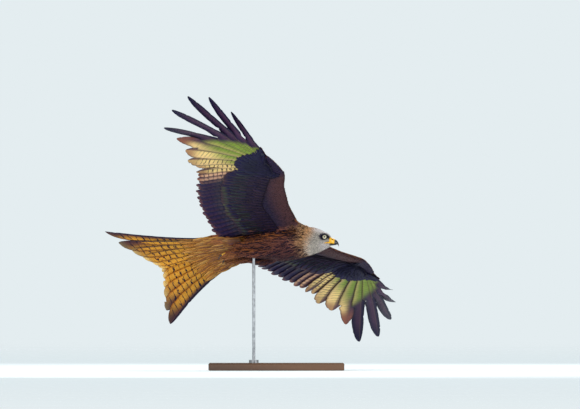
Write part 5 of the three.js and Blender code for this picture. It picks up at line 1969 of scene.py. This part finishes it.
def grain_group() -> NodeTree:
    """Builds the shared group of uneven colour and fine grain on bare parts."""
    tree = new_group(
        "surface_grain", "ShaderNodeTree", dict.fromkeys(("Scale", "Stretch"), "Float"),
        dict.fromkeys(("Cloud", "Fine", "Cells"), "Float"))
    given = tree.add("NodeGroupInput").outputs
    place = tree.add("ShaderNodeTexCoord").outputs["Object"]
    drawn = tree.vector("MULTIPLY", place, tree.join(given["Stretch"], 1.0, 1.0))
    finer = tree.math("MULTIPLY", given["Scale"], 6.0)
    cloud, fine = tree.noise(drawn, given["Scale"], 4.0), tree.noise(drawn, finer, 3.0)
    cells = tree.add("ShaderNodeTexVoronoi", {"Vector": drawn, "Scale": finer}).outputs[0]
    tree.add("NodeGroupOutput", {"Cloud": cloud, "Fine": fine, "Cells": cells})
    return tree.tree


def bare_material(name: str) -> tuple[Material, Tree, Node]:
    """Starts a material: gives it, its tree and its shader."""
    material = bpy.data.materials.new(name)
    material.use_nodes = True
    return material, Tree(material.node_tree), material.node_tree.nodes["Principled BSDF"]


@dataclass(frozen=True)
class PlumageFinish:
    """The finish of feathers: pitches in millimetres, widths as shares of half a vane."""

    name: str
    bar_pitch: float = 12.5
    bar_share: float = 0.24
    streak_width: float = 0.6
    barb_pitch: float = 1.1
    roughness: float = 0.6
    shaft_shade: float = 0.35
    rim: float = 0.0
    # how strongly the painted shade darkens the roots
    root_shade: float = 0.0

    def make(self, pattern: NodeTree) -> Material:
        """Builds the material."""
        material, tree, shader = bare_material(self.name)
        ground, marking, plume, trait = (
            tree.add("ShaderNodeAttribute", attribute_name=key).outputs
            for key in ("ground", "marking", "plume", "traits")
        )
        vane = tree.add("ShaderNodeGroup", {
            "Plume": plume["Vector"], "Traits": trait["Vector"], "Bar Pitch": self.bar_pitch,
            "Bar Share": self.bar_share, "Streak Width": self.streak_width, "Barb Pitch": self.barb_pitch,
            "Rim": self.rim, "Painted Root Shade": self.root_shade}, node_tree=pattern).outputs
        marked = tree.mix(vane["Mark"], ground["Color"], marking["Color"])
        tint = tree.add("ShaderNodeCombineColor", dict.fromkeys(range(3), vane["Tint"])).outputs[0]
        shaded = tree.mix(1.0, marked, tint, "MULTIPLY")
        shaft = tree.math("MULTIPLY", vane["Shaft"], self.shaft_shade)
        tree.fill(shader, {
            "Base Color": tree.mix(shaft, shaded, srgb(96, 78, 66)),
            "Normal": tree.bump(vane["Height"], 0.35, 0.0002), "Roughness": self.roughness,
            "Specular IOR Level": 0.08, "Sheen Weight": 0.01, "Sheen Roughness": 0.5})
        return material


@dataclass(frozen=True)
class GrainFinish:
    """The finish of a bare part with uneven colour and a fine surface."""

    name: str
    dark: Colour
    light: Colour
    scale: float
    roughness: float
    bump: float
    stretch: float = 1.0
    metallic: float = 0.0
    cells: bool = False
    coat: float = 0.0

    def make(self, grain: NodeTree) -> Material:
        """Builds the material."""
        material, tree, shader = bare_material(self.name)
        inputs = {"Scale": self.scale, "Stretch": self.stretch}
        found = tree.add("ShaderNodeGroup", inputs, node_tree=grain).outputs
        tree.fill(shader, {
            "Base Color": tree.mix(tree.ramp(found["Cloud"], 0.3, 0.7), self.dark, self.light),
            "Normal": tree.bump(found["Cells" if self.cells else "Fine"], self.bump, 0.0004),
            "Roughness": tree.ramp(found["Fine"], 0.2, 0.8, self.roughness * 0.8, self.roughness * 1.2),
            "Metallic": self.metallic, "Coat Weight": self.coat})
        return material


def eye_material() -> Material:
    """Builds the eye: a black pupil in a pale iris with fine rays and a dark rim, under a clear gloss."""
    material, tree, shader = bare_material("eye_wet")
    look = tree.add("ShaderNodeAttribute", attribute_name="look").outputs["Vector"]
    angle, spin = tree.add("ShaderNodeSeparateXYZ", {0: look}).outputs[:2]
    wave = tree.math("SINE", tree.math("MULTIPLY", spin, 2 * math.pi * 60))
    rays = tree.math("ADD", tree.math("MULTIPLY", wave, 0.5), 0.5)
    iris = tree.mix(tree.math("MULTIPLY", rays, 0.5), srgb(238, 228, 196), srgb(196, 176, 120))
    iris = tree.mix(tree.ramp(angle, 36.0, 50.0), iris, srgb(120, 96, 60))
    inner = tree.mix(tree.ramp(angle, 23.0, 20.5), iris, srgb(6, 5, 6))
    whole = tree.mix(tree.ramp(angle, 47.0, 52.0), inner, srgb(16, 12, 14))
    tree.fill(shader, {"Base Color": whole, "Roughness": 0.12, "Coat Weight": 1.0, "Coat Roughness": 0.03})
    return material


def look_material(
    name: str, colours: tuple[Colour, Colour], marks: tuple[float, float], roughness: float, grain: NodeTree
) -> Material:
    """Builds a finish that turns from one colour to another by a piece's own mark.

    Args:
        name: of the material.
        colours: where the mark is small, and where it is large.
        marks: at which the change begins and ends.
        roughness: of the surface.
        grain: the shared group of uneven colour.

    Returns:
        The material.
    """
    material, tree, shader = bare_material(name)
    look = tree.add("ShaderNodeAttribute", attribute_name="look").outputs["Vector"]
    mark = tree.add("ShaderNodeSeparateXYZ", {0: look}).outputs[0]
    found = tree.add("ShaderNodeGroup", {"Scale": 160.0, "Stretch": 1.0}, node_tree=grain).outputs
    colour = tree.mix(tree.ramp(mark, *marks), *colours)
    shade = tree.ramp(found["Cloud"], 0.25, 0.75, 0.0, 0.3)
    tree.fill(shader, {
        "Base Color": tree.mix(shade, colour, srgb(120, 70, 20), "MULTIPLY"),
        "Normal": tree.bump(found["Fine"], 0.25, 0.0002), "Roughness": roughness, "Coat Weight": 0.3})
    return material


@dataclass
class Finishes:
    """All materials of the scene."""

    def __post_init__(self) -> None:
        """Builds the shared groups and the materials."""
        pattern, grain = barb_group(), grain_group()

        def plumage(name: str, **traits: float) -> Material:
            """Builds a finish of feathers."""
            return PlumageFinish(name, **traits).make(pattern)

        def grained(name: str, *values: Colour | float, **more: float) -> Material:
            """Builds a finish of a bare part."""
            return GrainFinish(name, *values, **more).make(grain)

        # The skin carries no plume, so it takes the painted root shade all over and reads as the shade under the
        # coat.
        self.skin = plumage("skin_down", streak_width=0.7, root_shade=0.62, shaft_shade=0)
        self.body = plumage("body_plumage", streak_width=0.86, barb_pitch=0.8, rim=0.4, root_shade=0.6)
        self.head = plumage(
            "head_plumage", streak_width=0.5, barb_pitch=0.6, rim=0.45, root_shade=0.2, shaft_shade=0.4)
        self.wing = plumage("wing_vanes", bar_share=0.3, bar_pitch=11.5, roughness=0.5)
        self.coverts = plumage("wing_coverts", streak_width=0.5, barb_pitch=0.9, rim=0.3, root_shade=0.45)
        self.tail = plumage("tail_vanes", bar_share=0.25, bar_pitch=18)
        self.eye = eye_material()
        self.lid = grained("lid_skin", srgb(12, 10, 12), srgb(26, 22, 24), 300, 0.75, 0.4)
        self.cere = look_material("cere_skin", (PALETTE.yellow, srgb(40, 22, 8)), (0.35, 0.9), 0.42, grain)
        self.horn = look_material("bill_horn", (srgb(150, 140, 128), PALETTE.horn), (0.0, 0.32), 0.28, grain)
        self.foot = grained("foot_scales", srgb(206, 150, 30), srgb(240, 192, 60), 120, 0.5, 0.8, cells=True)
        self.wood = grained(
            "stand_wood", srgb(66, 42, 28), srgb(112, 76, 50), 14, 0.45, 0.25, stretch=0.12, coat=0.2)
        self.steel = grained("stand_steel", srgb(150, 152, 156), srgb(196, 198, 202), 90, 0.3, 0.1, metallic=1.0)
        self.floor = self.floor_material()

    @staticmethod
    def floor_material() -> Material:
        """Builds the pale floor, which thins out to nothing at its rim."""
        material, tree, shader = bare_material("pale_floor")
        place = tree.add("ShaderNodeTexCoord").outputs["Object"]
        far = tree.add("ShaderNodeVectorMath", {0: place}, operation="LENGTH").outputs["Value"]
        tree.fill(shader, {
            "Alpha": tree.ramp(far, 22.0, 1.0), "Base Color": (*srgb(226, 232, 234), 1), "Roughness": 0.9,
            "Emission Color": (*SKY, 1), "Emission Strength": 0.45})
        return material


# Stand, stage and camera


def dress_stand(finishes: Finishes) -> None:
    """Gives the stand's own solids their finishes."""
    steel = finishes.steel
    for name, finish in (("stand_base", finishes.wood), ("stand_collar", steel), ("stand_rod", steel)):
        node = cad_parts[name]
        node.data.materials.clear()
        node.data.materials.append(finish)


@dataclass(frozen=True)
class Stage:
    """Floor, light and camera of the picture."""

    distance: float = 100.0
    middle: tuple[float, float] = (0.0360, 0.4399)
    width_shown: float = 1.537
    sensor: float = 36.0
    ambient: float = 0.6
    floor_radius: float = 24.0
    lamps: tuple[tuple[str, tuple[float, float, float], float, float], ...] = (
        ("key", (-1.6, -3.2, 1.6), 1.6, 70.0), ("fill", (2.6, -2.6, -0.1), 2.0, 28.0),
        ("back", (0.5, 3.0, 2.6), 1.6, 50.0),
    )
    aim: tuple[float, float, float] = (0.03, 0, 0.42)

    def make(self, finishes: Finishes) -> None:
        """Sets the whole stage."""
        self.floor(finishes)
        self.lights()
        self.camera()

    def floor(self, finishes: Finishes) -> None:
        """Lays a round pale floor."""
        sides = 96
        angles = np.linspace(0, 2 * np.pi, sides, endpoint=False)
        rim = self.floor_radius * np.column_stack([np.cos(angles), np.sin(angles), 0 * angles])
        made = new_object("floor", mesh_of("floor", rim, [list(range(sides))]))
        made.data.materials.append(finishes.floor)

    def lights(self) -> None:
        """Sets a pale sky, which lights less than it shows, and three large soft lamps."""
        bpy.context.scene.view_settings.view_transform = "Standard"
        world = bpy.data.worlds.new("studio")
        world.use_nodes = True
        tree = Tree(world.node_tree)
        seen = tree.math("MULTIPLY", tree.add("ShaderNodeLightPath").outputs["Is Camera Ray"], 1 - self.ambient)
        tree.fill(world.node_tree.nodes["Background"], {
            "Color": (*SKY, 1), "Strength": tree.math("ADD", self.ambient, seen)})
        bpy.context.scene.world = world
        for name, place, size, power in self.lamps:
            lamp = bpy.data.lights.new(name, "AREA")
            lamp.size, lamp.energy = size, power
            made = bpy.data.objects.new(name, lamp)
            made.location = place
            made.rotation_euler = (Vector(place) - Vector(self.aim)).to_track_quat("Z", "Y").to_euler()
            bpy.context.scene.collection.objects.link(made)

    def camera(self) -> None:
        """Sets the camera level with the bird, far off."""
        lens = bpy.data.cameras.new("camera")
        lens.sensor_fit, lens.sensor_width = "HORIZONTAL", self.sensor
        lens.lens = self.sensor * self.distance / self.width_shown
        lens.clip_end = 400
        made = bpy.data.objects.new("camera", lens)
        made.location = (self.middle[0], -self.distance, self.middle[1])
        made.rotation_euler = Euler((math.pi / 2, 0, 0))
        bpy.context.scene.collection.objects.link(made)
        bpy.context.scene.camera = made


def main() -> None:
    """Builds the bird, its stand and the stage."""
    logging.basicConfig(level=logging.INFO, format="%(name)s: %(message)s")
    finishes = Finishes()
    plan, tail, body = WingPlan(), Tail(), BodyForm()
    skin = Skin(body, plan, tail).make(finishes.skin)
    broad = PlumeForm("plume_broad", (-0.1, 0.3, 0.68, 0.9, 1.0), (0.2, 0.46, 0.5, 0.28, 0.03))
    pointed = PlumeForm("plume_pointed", widths=(0.16, 0.46, 0.44, 0.26, 0.13, 0.02))
    for coat, finish, slot in (
        (Coat("coat_breast", Region.BREAST, 3.3, 0.11, 11, pointed), finishes.body, "body_plumage"),
        (Coat("coat_belly", Region.BELLY, 3.75, 0.1, 15, pointed), finishes.body, "body_plumage"),
        (Coat("coat_head", Region.HEAD, 1.6, 0.16, 12, pointed), finishes.head, "head_plumage"),
        (Coat("coat_wing_left", Region.WING_LEFT, 3.0, 0.1, 13, broad), finishes.coverts, "body_plumage"),
        (Coat("coat_wing_right", Region.WING_RIGHT, 3.0, 0.1, 14, broad), finishes.coverts, "body_plumage"),
    ):
        coat.grow(skin, finish, slot)
    fit_piece(skin, finishes.skin, ["torso", "neck", "head", "leg_left", "leg_right"])
    colours = WingColours()
    arm, hand = range(plan.arm_feathers), range(plan.arm_feathers, plan.count)
    for side, name in SIDES:
        wing = Wing(plan, side)
        for kind, sheaf, finish, nodes in (
            ("secondaries", wing.flight_feathers(arm, colours), finishes.wing, [f"wing_{name}_arm"]),
            ("primaries", wing.flight_feathers(hand, colours), finishes.wing, [f"wing_{name}_hand"]),
            ("covert_rows", wing.covert_rows(colours), finishes.coverts, []),
            ("tertials", wing.tertials(colours), finishes.wing, []),
            ("alula", wing.alula(colours), finishes.wing, []),
        ):
            sheaf.build(f"{kind}_{name}", finish, "wing_feathers", nodes)
        Foot(side).make(finishes)
    tail.feathers().build("rectrices", finishes.tail, "tail_feathers", ["tail"])
    tail.coverts().build("tail_coverts", finishes.coverts, "body_plumage")
    Head(body).make(finishes)
    dress_stand(finishes)
    Stage().make(finishes)


if __name__ == "__main__":
    main()
